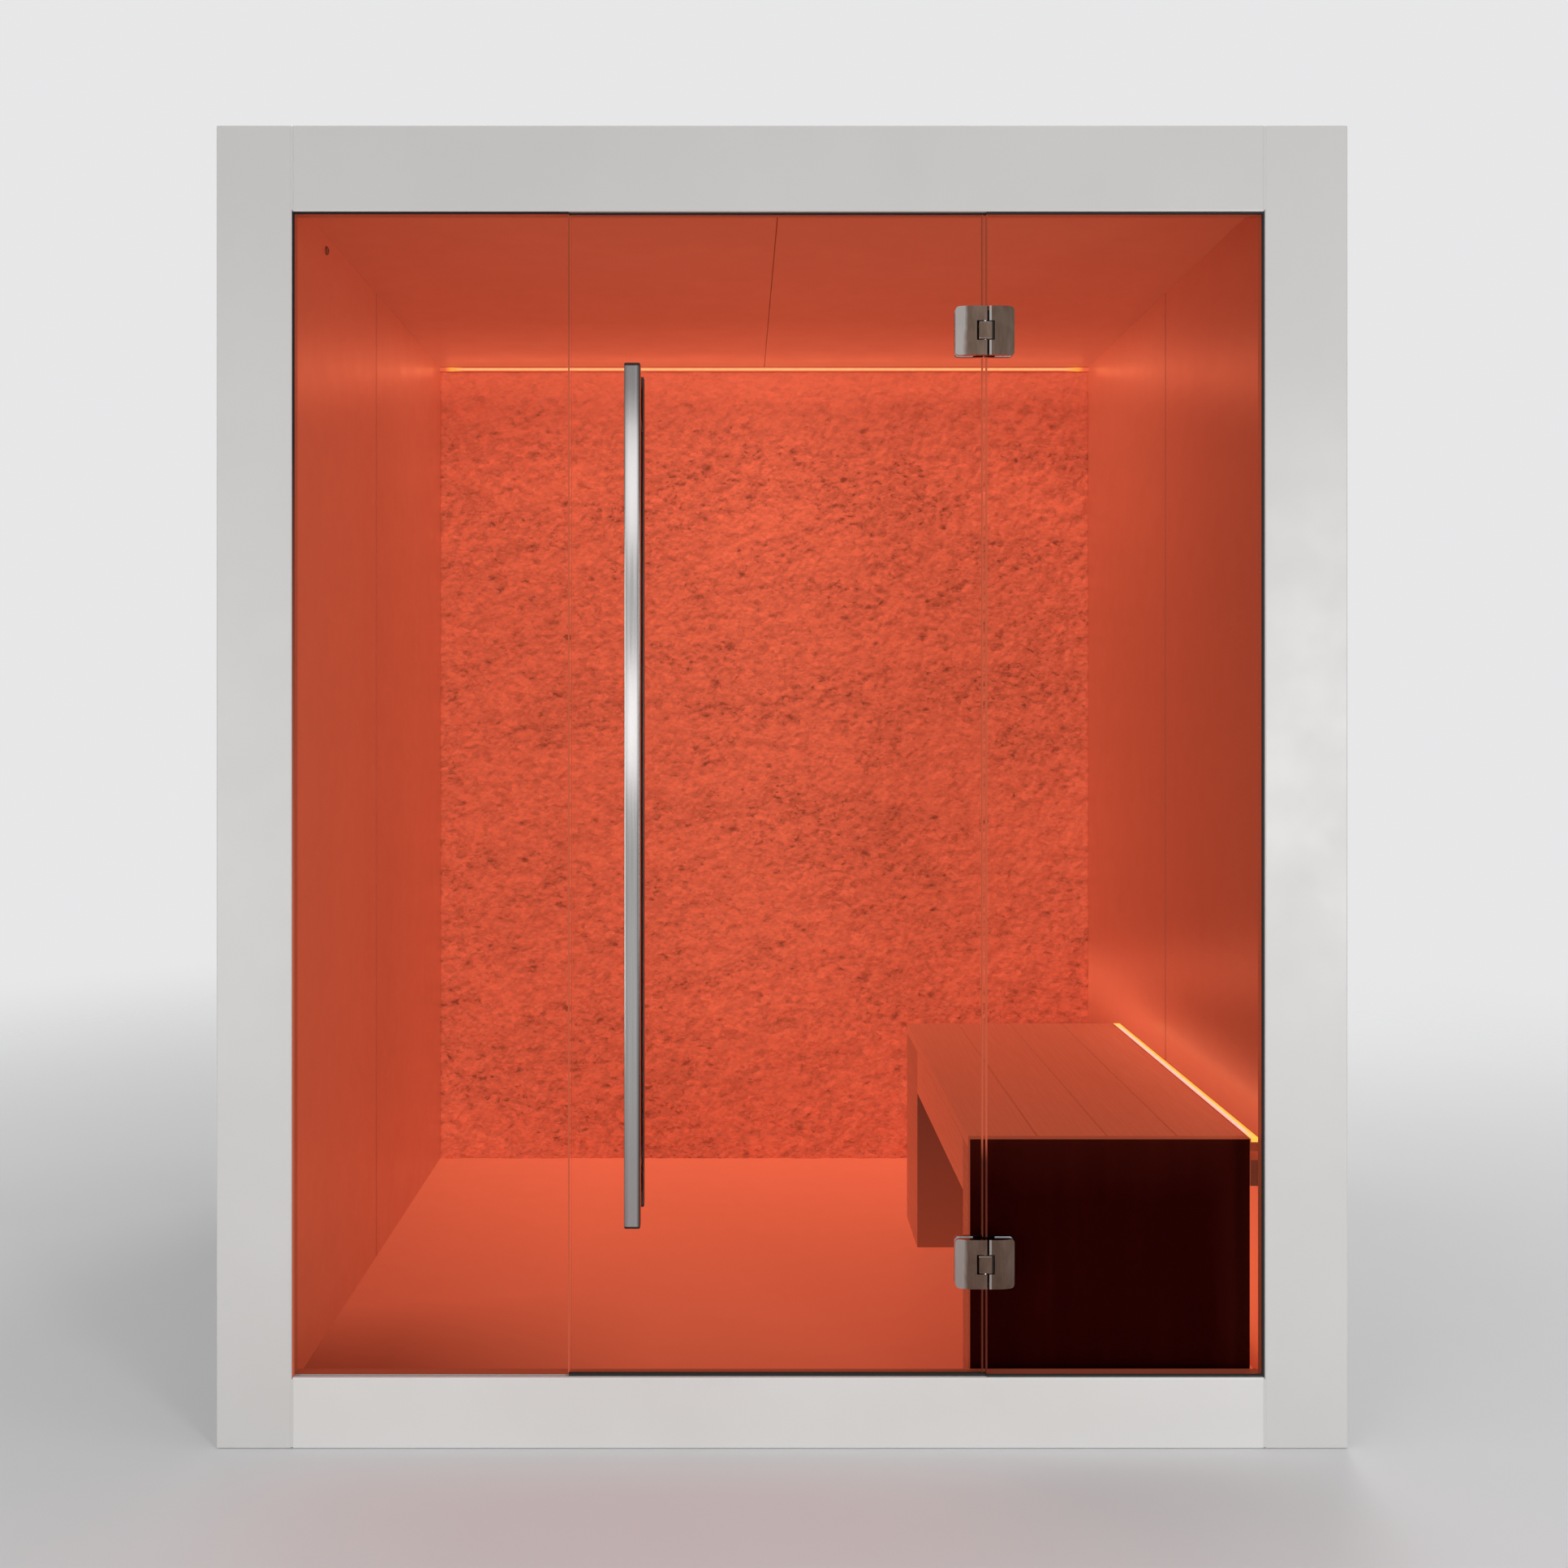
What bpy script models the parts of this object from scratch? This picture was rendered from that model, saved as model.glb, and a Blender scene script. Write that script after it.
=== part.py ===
"""Salt therapy cabin: a white framed glass front with a hinged door, a salt wall at the back,
a plank bench along the right wall, and light lines over the salt and beside the bench.

Metres, +Z up. X runs right and Y runs to the back. The origin lies on the ground, in the middle
of the overall width and depth. A depth is measured from the front face of the frame.
"""

import math

import bmesh
import bpy
from mathutils import Matrix, Vector, noise

# Overall size of the carcass
CABIN_WIDTH = 1.800
CABIN_HEIGHT = 2.105
CABIN_DEPTH = 1.500

# Front frame of four boards
FRAME_THICKNESS = 0.035
LEFT_POST_WIDTH = 0.120
RIGHT_POST_WIDTH = 0.132
HEADER_HEIGHT = 0.137
SILL_HEIGHT = 0.113
FRAME_EDGE = 0.0025

# Layers of the side walls, the back, the roof and the floor
CLADDING = 0.016
STUD_DEPTH = 0.048
STUD_WIDTH = 0.045
LINING = 0.016
BACK_STUD_DEPTH = 0.030
BACK_LINING = 0.012
SALT_THICKNESS = 0.022
SALT_RELIEF = 0.007
SALT_LUMP = 0.085
SALT_COLUMNS = 40
SALT_ROWS = 48
ROOF_PANEL = 0.016
JOIST_HEIGHT = 0.038
CEILING_LINING = 0.012
DECK_THICKNESS = 0.028
BEARER_HEIGHT = 0.008
BEARER_WIDTH = 0.060
PANEL_SEAM = 0.002
PANEL_EDGE = 0.001

# Glass front: the door hangs on the right fixed pane
GLASS = 0.008
GLASS_INSET = 0.006
GLASS_ARRIS = 0.001
GLASS_GROOVE = 0.012
RIGHT_PANE = 0.445
DOOR_SPAN = 0.661
HINGE_GAP = 0.006
LATCH_GAP = 0.004
DOOR_TOP_GAP = 0.004
DOOR_BOTTOM_GAP = 0.006

# Glass-to-glass hinges: the pin runs through the nose of the door plate
TOP_HINGE_DROP = 0.186
BOTTOM_HINGE_RISE = 0.175
HINGE_HEIGHT = 0.078
HINGE_REACH = 0.047
PLATE_NOSE = 0.005
PLATE_CROWN = 0.0022
PLATE_EDGE = 0.0035
PLATE_CORNER = 0.006
PLATE_GAP = 0.001
BACK_PLATE = 0.0075
KNUCKLE_REACH = 0.0112
KNUCKLE_HEIGHT = 0.029
KNUCKLE_PROUD = 0.001
KNUCKLE_ROUND = 0.0025
KNUCKLE_CLEARANCE = 0.001
POCKET_WIDTH = 0.0035
POCKET_DEPTH = 0.003
PIN_RADIUS = 0.003
PIN_PLAY = 0.0001
PIN_LENGTH = 0.060
CLAMP_RADIUS = 0.007
CLAMP_REACH = 0.029

# Back-to-back bar handle
HANDLE_LENGTH = 1.348
HANDLE_BAR = 0.025
HANDLE_EDGE = 0.0022
HANDLE_INSET = 0.103
HANDLE_STANDOFF = 0.035
HANDLE_POST_INSET = 0.075
POST_RADIUS = 0.009
SPIGOT_RADIUS = 0.005

# Bench along the right wall
BENCH_SEAT_DEPTH = 0.457
BENCH_LENGTH = 0.900
BENCH_HEIGHT = 0.439
BENCH_WALL_GAP = 0.055
BENCH_FRONT_GAP = 0.0265
BENCH_SLAB = 0.107
FRONT_LEG = 0.075
REAR_LEG = 0.190
BENCH_BOARD = 0.018
GLIDE_HEIGHT = 0.008
GLIDE_RADIUS = 0.007
PLANK_COUNT = 4
PLANK_THICKNESS = 0.020
PLANK_GAP = 0.002
PLANK_EDGE = 0.0015
RAIL_DROP = 0.034
RAIL_HEIGHT = 0.043

# Light profiles
LED_FACE = 0.013
BENCH_LED_FACE = 0.018
LED_BODY = 0.020
LED_WALL = 0.0015
LENS_THICKNESS = 0.005

# Salt aerosol generator, its nozzle and the light driver
GENERATOR_WIDTH = 0.300
GENERATOR_HEIGHT = 0.260
GENERATOR_ABOVE = 0.008
GENERATOR_EDGE = 0.004
NOZZLE_BACK = 0.352
NOZZLE_DROP = 0.028
NOZZLE_BORE = 0.0045
NOZZLE_TUBE = 0.0065
NOZZLE_FLANGE = 0.008
NOZZLE_PROUD = 0.004
NOZZLE_RIM = 0.0015
DRIVER_LENGTH = 0.200
DRIVER_WIDTH = 0.060
DRIVER_HEIGHT = 0.030
DRIVER_EDGE = 0.002
DRIVER_FROM_BACK = 0.150
DRIVER_FROM_LEFT = 0.300

# Clearances: between touching pieces, round a loose bolt, and past a wall that is cut through
FIT = 0.0003
BOLT_PLAY = 0.001
OVERCUT = 0.002
ROUND_STEPS = 24

# Places that follow from the sizes
HANDLE_PROUD = HANDLE_STANDOFF + HANDLE_BAR - GLASS_INSET
FRONT = (HANDLE_PROUD - CABIN_DEPTH) / 2
SIDE = CABIN_WIDTH / 2
CLAD_X = SIDE - CLADDING
STUD_X = CLAD_X - STUD_DEPTH
WALL_X = STUD_X - LINING
OPEN_LEFT = LEFT_POST_WIDTH - SIDE
OPEN_RIGHT = SIDE - RIGHT_POST_WIDTH
OPEN_BOTTOM = SILL_HEIGHT
OPEN_TOP = CABIN_HEIGHT - HEADER_HEIGHT
CARCASS = FRAME_THICKNESS + FIT
BACK_CLAD = CABIN_DEPTH - CLADDING
BACK_STUD = BACK_CLAD - BACK_STUD_DEPTH
BACK_BOARD = BACK_STUD - BACK_LINING
SALT_FACE = BACK_BOARD - SALT_THICKNESS
ROOF_Z = CABIN_HEIGHT - ROOF_PANEL
JOIST_Z = ROOF_Z - JOIST_HEIGHT
CEILING_Z = JOIST_Z - CEILING_LINING
DECK_Z = BEARER_HEIGHT + DECK_THICKNESS
GLASS_BACK = GLASS_INSET + GLASS
PIN_X = OPEN_RIGHT - RIGHT_PANE
PIN_DEPTH = GLASS_INSET - FIT - PLATE_NOSE
LATCH_X = PIN_X - DOOR_SPAN
DOOR_LEFT = LATCH_X + LATCH_GAP / 2
DOOR_BOTTOM = OPEN_BOTTOM + DOOR_BOTTOM_GAP
DOOR_TOP = OPEN_TOP - DOOR_TOP_GAP
HANDLE_X = LATCH_X + HANDLE_INSET
HANDLE_Z = (DOOR_BOTTOM + DOOR_TOP) / 2
BENCH_RIGHT = WALL_X - BENCH_WALL_GAP
BENCH_LEFT = BENCH_RIGHT - BENCH_SEAT_DEPTH
BENCH_FRONT = FRAME_THICKNESS + BENCH_FRONT_GAP
BENCH_BACK = BENCH_FRONT + BENCH_LENGTH
PLANK_FRONT = BENCH_FRONT + BENCH_BOARD + FIT
BENCH_TOP = DECK_Z + BENCH_HEIGHT
PLANK_Z = BENCH_TOP - PLANK_THICKNESS
LENS_FACE = LED_FACE - 2 * LED_WALL
BENCH_LENS = BENCH_LED_FACE - 2 * LED_WALL
NOZZLE_Z = CEILING_Z - NOZZLE_DROP


def empty_scene():
    """Clears the scene and gives the two collections that the model uses."""
    for old in list(bpy.data.objects):
        bpy.data.objects.remove(old)
    found = []
    for title in ("salt_therapy_cabin", "cutters"):
        collection = bpy.data.collections.new(title)
        bpy.context.scene.collection.children.link(collection)
        found.append(collection)
    return found


PARTS, CUTTERS = empty_scene()


def finish(name, colour, roughness, metallic=0.0, alpha=1.0):
    """A Principled material."""
    material = bpy.data.materials.new(name)
    material.use_nodes = True
    shader = material.node_tree.nodes["Principled BSDF"]
    shader.inputs["Base Color"].default_value = (*colour, 1.0)
    shader.inputs["Roughness"].default_value = roughness
    shader.inputs["Metallic"].default_value = metallic
    shader.inputs["Alpha"].default_value = alpha
    material.diffuse_color = (*colour, alpha)
    return material


WHITE_BOARD = finish("white_board", (0.62, 0.61, 0.60), 0.38)
LIT_PANEL = finish("lit_panel", (0.58, 0.085, 0.040), 0.45)
LIT_DECK = finish("lit_deck", (0.52, 0.070, 0.034), 0.40)
LIT_SALT = finish("lit_salt", (0.62, 0.095, 0.045), 0.75)
BENCH_BOARDS = finish("bench_boards", (0.42, 0.055, 0.028), 0.50)
DARK_BOARD = finish("dark_board", (0.020, 0.003, 0.002), 0.55)
CLEAR_GLASS = finish("clear_glass", (0.90, 0.95, 0.93), 0.02, alpha=0.15)
CHROME = finish("chrome", (0.62, 0.58, 0.54), 0.08, metallic=1.0)
STEEL = finish("brushed_steel", (0.56, 0.56, 0.55), 0.28, metallic=1.0)
ALUMINIUM = finish("aluminium", (0.66, 0.66, 0.66), 0.35, metallic=1.0)
LENS = finish("light_lens", (1.00, 0.80, 0.45), 0.30)
TIMBER = finish("timber", (0.55, 0.38, 0.22), 0.70)
BLACK_PLASTIC = finish("black_plastic", (0.03, 0.03, 0.03), 0.45)
RUBBER = finish("rubber", (0.04, 0.04, 0.04), 0.80)


def at(x, depth, z):
    """World point from a depth behind the front face of the frame."""
    return Vector((x, FRONT + depth, z))


def place(name, mesh, where, material=None, parent=None):
    """Links a mesh as a part, or as a hidden cutter where it has no material."""
    obj = bpy.data.objects.new(name, mesh)
    if material:
        PARTS.objects.link(obj)
        mesh.materials.append(material)
    else:
        CUTTERS.objects.link(obj)
        obj.hide_render = True
        obj.display_type = "WIRE"
    obj.parent = parent
    obj.location = where - parent.location if parent else where
    return obj


def mesh_of(name, shape):
    """Turns a bmesh into a mesh with its faces pointing out."""
    bmesh.ops.recalc_face_normals(shape, faces=shape.faces[:])
    if shape.calc_volume(signed=True) < 0:
        bmesh.ops.reverse_faces(shape, faces=shape.faces[:])
    mesh = bpy.data.meshes.new(name)
    shape.to_mesh(mesh)
    shape.free()
    return mesh


def block(name, low, high, material=None, edge=0.0, parent=None):
    """A board, bar or box cutter between two (x, depth, z) corners."""
    low, high = at(*low), at(*high)
    shape = bmesh.new()
    bmesh.ops.create_cube(shape, size=1.0, matrix=Matrix.Diagonal((*(high - low), 1.0)))
    obj = place(name, mesh_of(name, shape), (low + high) / 2, material, parent)
    if edge:
        soften(obj, edge)
    return obj


def soften(obj, width, segments=2):
    """Rounds the edges of a box."""
    bevel = obj.modifiers.new("edge", "BEVEL")
    bevel.width = width
    bevel.segments = segments


def rod(name, radius, length, where, along="Z", material=None, parent=None):
    """A round bar or a drill, centred on a point."""
    shape = bmesh.new()
    bmesh.ops.create_cone(
        shape,
        cap_ends=True,
        segments=ROUND_STEPS,
        radius1=radius,
        radius2=radius,
        depth=length,
    )
    obj = place(name, mesh_of(name, shape), where, material, parent)
    obj.rotation_euler = {"X": (0, math.pi / 2, 0), "Y": (math.pi / 2, 0, 0), "Z": (0, 0, 0)}[along]
    return obj


def turned(name, profile, where, facing, material, parent=None, closed=False):
    """A turned piece from (radius, height) points that run down its outer side."""
    shape = bmesh.new()
    points = [shape.verts.new((radius, 0, height)) for radius, height in profile]
    pairs = list(zip(points, points[1:]))
    if closed:
        pairs.append((points[-1], points[0]))
    for pair in pairs:
        shape.edges.new(pair)
    mesh = bpy.data.meshes.new(name)
    shape.to_mesh(mesh)
    shape.free()
    obj = place(name, mesh, where, material, parent)
    obj.rotation_euler = {"front": (math.pi / 2, 0, 0), "right": (0, math.pi / 2, 0)}[facing]
    screw = obj.modifiers.new("turn", "SCREW")
    screw.steps = ROUND_STEPS
    screw.render_steps = ROUND_STEPS
    screw.use_merge_vertices = True
    screw.merge_threshold = 0.00001
    return obj


def combine(obj, tool, operation):
    """Adds a Boolean of a cutter to a part."""
    boolean = obj.modifiers.new(tool.name, "BOOLEAN")
    boolean.operation = operation
    boolean.object = tool


def cut(obj, *tools):
    for tool in tools:
        combine(obj, tool, "DIFFERENCE")


def weld(obj, *tools):
    for tool in tools:
        combine(obj, tool, "UNION")


def extruded(name, outline, half_height):
    """A bmesh of a closed outline in X and Y, drawn up and down along Z."""
    curve = bpy.data.curves.new(name, "CURVE")
    curve.dimensions = "2D"
    curve.fill_mode = "BOTH"
    curve.extrude = half_height
    spline = curve.splines.new("POLY")
    spline.points.add(len(outline) - 1)
    for point, (x, y) in zip(spline.points, outline):
        point.co = (x, y, 0.0, 1.0)
    spline.use_cyclic_u = True
    drawn = bpy.data.objects.new(name, curve)
    CUTTERS.objects.link(drawn)
    graph = bpy.context.evaluated_depsgraph_get()
    mesh = bpy.data.meshes.new_from_object(drawn.evaluated_get(graph))
    bpy.data.objects.remove(drawn)
    shape = bmesh.new()
    shape.from_mesh(mesh)
    bpy.data.meshes.remove(mesh)
    bmesh.ops.remove_doubles(shape, verts=shape.verts[:], dist=0.00001)
    bmesh.ops.dissolve_limit(shape, angle_limit=0.005, verts=shape.verts[:], edges=shape.edges[:])
    return shape


def mirrored(side, inner, outer):
    """Low and high x of a layer between two distances from the middle, left or right."""
    return sorted((side * inner, side * outer))


def frame_boards():
    """Two posts over the full height, with the header and the sill between them."""
    deep = FRAME_THICKNESS
    inner_left, inner_right = OPEN_LEFT + FIT, OPEN_RIGHT - FIT
    left = block("left_post", (-SIDE, 0, 0), (OPEN_LEFT, deep, CABIN_HEIGHT), WHITE_BOARD, FRAME_EDGE)
    right = block("right_post", (OPEN_RIGHT, 0, 0), (SIDE, deep, CABIN_HEIGHT), WHITE_BOARD, FRAME_EDGE)
    header = block(
        "header",
        (inner_left, 0, OPEN_TOP),
        (inner_right, deep, CABIN_HEIGHT),
        WHITE_BOARD,
        FRAME_EDGE,
    )
    sill = block("sill", (inner_left, 0, 0), (inner_right, deep, OPEN_BOTTOM), WHITE_BOARD, FRAME_EDGE)
    return left, right, header, sill


def fixed_pane(name, x_low, x_high, boards):
    """A fixed pane in grooves that are cut in the boards round it."""
    z_low = OPEN_BOTTOM - GLASS_GROOVE
    z_high = OPEN_TOP + GLASS_GROOVE
    groove = block(
        name + "_groove",
        (x_low - FIT, GLASS_INSET - FIT, z_low - FIT),
        (x_high + FIT, GLASS_BACK + FIT, z_high + FIT),
    )
    for board in boards:
        cut(board, groove)
    return block(
        name,
        (x_low, GLASS_INSET, z_low),
        (x_high, GLASS_BACK, z_high),
        CLEAR_GLASS,
        GLASS_ARRIS,
    )


def stud_frame(name, low, high, across, cuts_x, cuts_z):
    """A frame of studs: a slab with its bays cut out along one axis.

    cuts_x and cuts_z hold the low and high end of each bay, sideways and upwards.
    """
    frame = block(name, low, high, TIMBER)
    for column, (first, last) in enumerate(cuts_x):
        for row, (bottom, top) in enumerate(cuts_z):
            if across == "X":
                ends = (low[0] - OVERCUT, first, bottom), (high[0] + OVERCUT, last, top)
            elif across == "Y":
                ends = (first, low[1] - OVERCUT, bottom), (last, high[1] + OVERCUT, top)
            else:
                ends = (first, bottom, low[2] - OVERCUT), (last, top, high[2] + OVERCUT)
            cut(frame, block(f"{name}_bay_{column}_{row}", *ends))
    return frame


def bays(low, high, count):
    """The open stretches between equal members along a length."""
    pitch = (high - low - STUD_WIDTH) / count
    starts = [low + STUD_WIDTH + pitch * step for step in range(count)]
    return [(start, start + pitch - STUD_WIDTH) for start in starts]


def side_wall(word, side):
    """Cladding, studs and a lining of two panels. The lining goes back for the nozzle's hole."""
    x_low, x_high = mirrored(side, CLAD_X, SIDE)
    block(
        f"{word}_wall_cladding",
        (x_low, CARCASS, 0),
        (x_high, CABIN_DEPTH, ROOF_Z - FIT),
        WHITE_BOARD,
        PANEL_EDGE,
    )
    x_low, x_high = mirrored(side, STUD_X + FIT, CLAD_X - FIT)
    back, top = BACK_CLAD - FIT, ROOF_Z - FIT
    stud_frame(
        f"{word}_wall_studs",
        (x_low, CARCASS, FIT),
        (x_high, back, top),
        "X",
        bays(CARCASS, back, 2),
        bays(FIT, top, 2),
    )
    x_low, x_high = mirrored(side, WALL_X, STUD_X)
    middle = (CARCASS + BACK_BOARD) / 2
    stretches = {
        "front": (CARCASS, middle - PANEL_SEAM / 2),
        "rear": (middle + PANEL_SEAM / 2, BACK_BOARD),
    }
    panels = {}
    for end, (first, last) in stretches.items():
        panels[end] = block(
            f"{word}_wall_lining_{end}",
            (x_low, first, DECK_Z + FIT),
            (x_high, last, CEILING_Z - FIT),
            LIT_PANEL,
            PANEL_EDGE,
        )
    return panels


def relief(x, z):
    """How far the salt stands out at a point: lumps with smaller lumps on them."""
    broad = noise.noise(Vector((x, 0, z)) / SALT_LUMP)
    small = noise.noise(Vector((x, SALT_LUMP, z)) * 2.3 / SALT_LUMP)
    return SALT_RELIEF * (0.65 * broad + 0.35 * small)


def salt_wall():
    """A slab of salt whose face is a grid raised by the relief."""
    low, high = DECK_Z + FIT, CEILING_Z - LED_FACE - FIT
    width, height = 2 * (WALL_X - FIT), high - low
    middle = (low + high) / 2
    shape = bmesh.new()
    bmesh.ops.create_grid(
        shape,
        x_segments=SALT_COLUMNS,
        y_segments=SALT_ROWS,
        size=0.5,
        matrix=Matrix.Diagonal((width, height, 1.0, 1.0)),
    )
    for vert in shape.verts:
        vert.co.z = SALT_THICKNESS + relief(vert.co.x, vert.co.y)
    rim = [edge for edge in shape.edges if edge.is_boundary]
    skirt = bmesh.ops.extrude_edge_only(shape, edges=rim)["geom"]
    for vert in skirt:
        if isinstance(vert, bmesh.types.BMVert):
            vert.co.z = 0.0
    bmesh.ops.edgeloop_fill(shape, edges=[edge for edge in shape.edges if edge.is_boundary])
    wall = place("salt_wall", mesh_of("salt_wall", shape), at(0, BACK_BOARD, middle), LIT_SALT)
    wall.rotation_euler.x = math.pi / 2
    return wall


def back_wall():
    """Cladding, studs, the board behind the salt, and the salt itself."""
    top = ROOF_Z - FIT
    wide = CLAD_X - FIT
    block("back_cladding", (-wide, BACK_CLAD, 0), (wide, CABIN_DEPTH, top), WHITE_BOARD, PANEL_EDGE)
    stud_frame(
        "back_studs",
        (-STUD_X, BACK_STUD + FIT, FIT),
        (STUD_X, BACK_CLAD - FIT, top),
        "Y",
        bays(-STUD_X, STUD_X, 3),
        bays(FIT, top, 2),
    )
    block("back_lining", (-STUD_X, BACK_BOARD + FIT, FIT), (STUD_X, BACK_STUD, top), TIMBER)
    salt_wall()


def roof():
    """Two ceiling panels with a seam in the middle, joists over them and a roof panel."""
    ends = {"left": (-STUD_X, -PANEL_SEAM / 2), "right": (PANEL_SEAM / 2, STUD_X)}
    for word, (x_low, x_high) in ends.items():
        block(
            f"ceiling_lining_{word}",
            (x_low, CARCASS, CEILING_Z),
            (x_high, BACK_BOARD, JOIST_Z),
            LIT_PANEL,
            PANEL_EDGE,
        )
    stud_frame(
        "ceiling_joists",
        (-STUD_X, CARCASS, JOIST_Z + FIT),
        (STUD_X, BACK_BOARD, ROOF_Z - FIT),
        "Z",
        bays(-STUD_X, STUD_X, 2),
        bays(CARCASS, BACK_BOARD, 2),
    )
    block("roof_panel", (-SIDE, CARCASS, ROOF_Z), (SIDE, CABIN_DEPTH, CABIN_HEIGHT), WHITE_BOARD, PANEL_EDGE)


def floor():
    """A deck on three flat bearers."""
    block("floor_deck", (-STUD_X, CARCASS, BEARER_HEIGHT + FIT), (STUD_X, BACK_BOARD, DECK_Z), LIT_DECK)
    reach = STUD_X - BEARER_WIDTH / 2
    for word, middle in {"left": -reach, "centre": 0.0, "right": reach}.items():
        block(
            f"floor_bearer_{word}",
            (middle - BEARER_WIDTH / 2, CARCASS, 0),
            (middle + BEARER_WIDTH / 2, BACK_BOARD, BEARER_HEIGHT),
            RUBBER,
        )


def crowned(inner, outer, base, rim):
    """Front edge of a plate in plan: flat at the seam, crowned, thin at the outer rim."""
    steps = 10
    points = []
    for step in range(steps + 1):
        part = step / steps
        bulge = 4 * part * (1 - part) * PLATE_CROWN
        points.append((inner + part * (outer - inner), -(base + part * (rim - base) + bulge)))
    return points


def nose_arc():
    """Half round of the door plate round the pin, from its front to its back."""
    steps = ROUND_STEPS // 2
    turns = [math.pi * (step / steps - 0.5) for step in range(steps + 1)]
    return [(PLATE_NOSE * math.cos(turn), PLATE_NOSE * math.sin(turn)) for turn in turns]


def rounded_face(name, outer, pivot):
    """A tool with a plate's outline from the front: past the seam, and round at the outer corners."""
    side = math.copysign(1, outer)
    half = HINGE_HEIGHT / 2
    turns = [math.pi / 2 * step / 6 for step in range(7)]
    x_middle, z_middle = outer - side * PLATE_CORNER, half - PLATE_CORNER
    upper = [
        (x_middle + side * PLATE_CORNER * math.cos(turn), z_middle + PLATE_CORNER * math.sin(turn))
        for turn in turns
    ]
    lower = [(x, -z) for x, z in reversed(upper)]
    outline = lower + upper + [(-outer, half), (-outer, -half)]
    tool = place(name, mesh_of(name, extruded(name, outline, HINGE_REACH)), pivot)
    tool.rotation_euler.x = math.pi / 2
    return tool


def plate(name, plan, outer, pivot, parent=None):
    """A hinge plate: its plan drawn over the height, then trimmed to its rounded outline."""
    shape = extruded(name, plan, HINGE_HEIGHT / 2 + OVERCUT)
    obj = place(name, mesh_of(name, shape), pivot, CHROME, parent)
    combine(obj, rounded_face(name + "_face", outer, pivot), "INTERSECT")
    return obj


def hinge(word, height, axis, door_glass, right_glass):
    """One hinge at a height. The pin's axis is the origin of every piece in plan."""
    name = f"hinge_{word}"
    pivot = at(PIN_X, PIN_DEPTH, height)
    flat = KNUCKLE_REACH + POCKET_WIDTH
    sweep = math.hypot(KNUCKLE_REACH, PLATE_NOSE + KNUCKLE_PROUD) + KNUCKLE_CLEARANCE
    notch_half = KNUCKLE_HEIGHT / 2 + KNUCKLE_CLEARANCE
    seam = PLATE_NOSE + PLATE_GAP
    rim = PLATE_EDGE - PLATE_NOSE
    glass_front = GLASS_INSET - PIN_DEPTH
    back_face = GLASS_BACK + FIT - PIN_DEPTH

    def box(title, x_low, x_high, y_low, y_high, half):
        return block(
            f"{name}_{title}",
            (PIN_X + x_low, PIN_DEPTH + y_low, height - half),
            (PIN_X + x_high, PIN_DEPTH + y_high, height + half),
        )

    def clamp(title, x):
        """The round boss of an outer plate, and the hole that it takes in the glass."""
        y_low = PLATE_NOSE - OVERCUT
        boss_end = back_face - FIT
        middle = pivot + Vector((x, (y_low + boss_end) / 2, 0))
        boss = rod(f"{name}_{title}_boss", CLAMP_RADIUS, boss_end - y_low, middle, "Y")
        through = pivot + Vector((x, glass_front + GLASS / 2, 0))
        drill = rod(f"{name}_{title}_drill", CLAMP_RADIUS + BOLT_PLAY, GLASS + 2 * OVERCUT, through, "Y")
        return boss, drill

    # Pin and its bore
    rod(f"{name}_pin", PIN_RADIUS, PIN_LENGTH, pivot, "Z", STEEL)
    bore = rod(f"{name}_bore", PIN_RADIUS + PIN_PLAY, PIN_LENGTH + 2 * OVERCUT, pivot)

    # Door plate: a nose round the pin, a notch for the pivot block
    plan = nose_arc() + [(-HINGE_REACH, PLATE_NOSE)]
    plan += list(reversed(crowned(-flat, -HINGE_REACH, PLATE_NOSE, rim)))
    door_plate = plate(f"{name}_door_plate", plan, -HINGE_REACH, pivot, axis)
    boss, drill = clamp("door", -CLAMP_REACH)
    notch = box("notch", -sweep, 2 * seam, -3 * PLATE_NOSE, 3 * PLATE_NOSE, notch_half)
    cut(door_plate, notch, bore)
    weld(door_plate, boss)
    glass_notch = box("glass_notch", -sweep, 0, 0, back_face, notch_half)
    cut(door_glass, glass_notch, drill)

    # Fixed plate: carries the pivot block in a shallow pocket
    plan = [(seam, PLATE_NOSE), (seam, -PLATE_NOSE)]
    plan += crowned(flat, HINGE_REACH, PLATE_NOSE, rim)
    plan += [(HINGE_REACH, PLATE_NOSE)]
    fixed_plate = plate(f"{name}_fixed_plate", plan, HINGE_REACH, pivot)
    boss, drill = clamp("fixed", CLAMP_REACH)
    pocket = box("pocket", 0, flat, -3 * PLATE_NOSE, POCKET_DEPTH - PLATE_NOSE, notch_half)
    knuckle = box(
        "knuckle",
        -KNUCKLE_REACH,
        KNUCKLE_REACH,
        -PLATE_NOSE - KNUCKLE_PROUD,
        PLATE_NOSE - FIT,
        KNUCKLE_HEIGHT / 2,
    )
    soften(knuckle, KNUCKLE_ROUND)
    cut(fixed_plate, pocket)
    weld(fixed_plate, knuckle, boss)
    cut(fixed_plate, bore)
    cut(right_glass, drill)

    # Clamp plates inside, one to each outer plate
    for side, title, parent in ((-1, "door_back_plate", axis), (1, "fixed_back_plate", None)):
        inner, outer = side * PLATE_GAP, side * HINGE_REACH
        plan = [(inner, back_face), (outer, back_face)]
        rise = crowned(outer, inner, BACK_PLATE - PLATE_CROWN, BACK_PLATE - PLATE_CROWN)
        plan += [(x, back_face - y) for x, y in rise]
        plate(f"{name}_{title}", plan, outer, pivot, parent)


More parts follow.
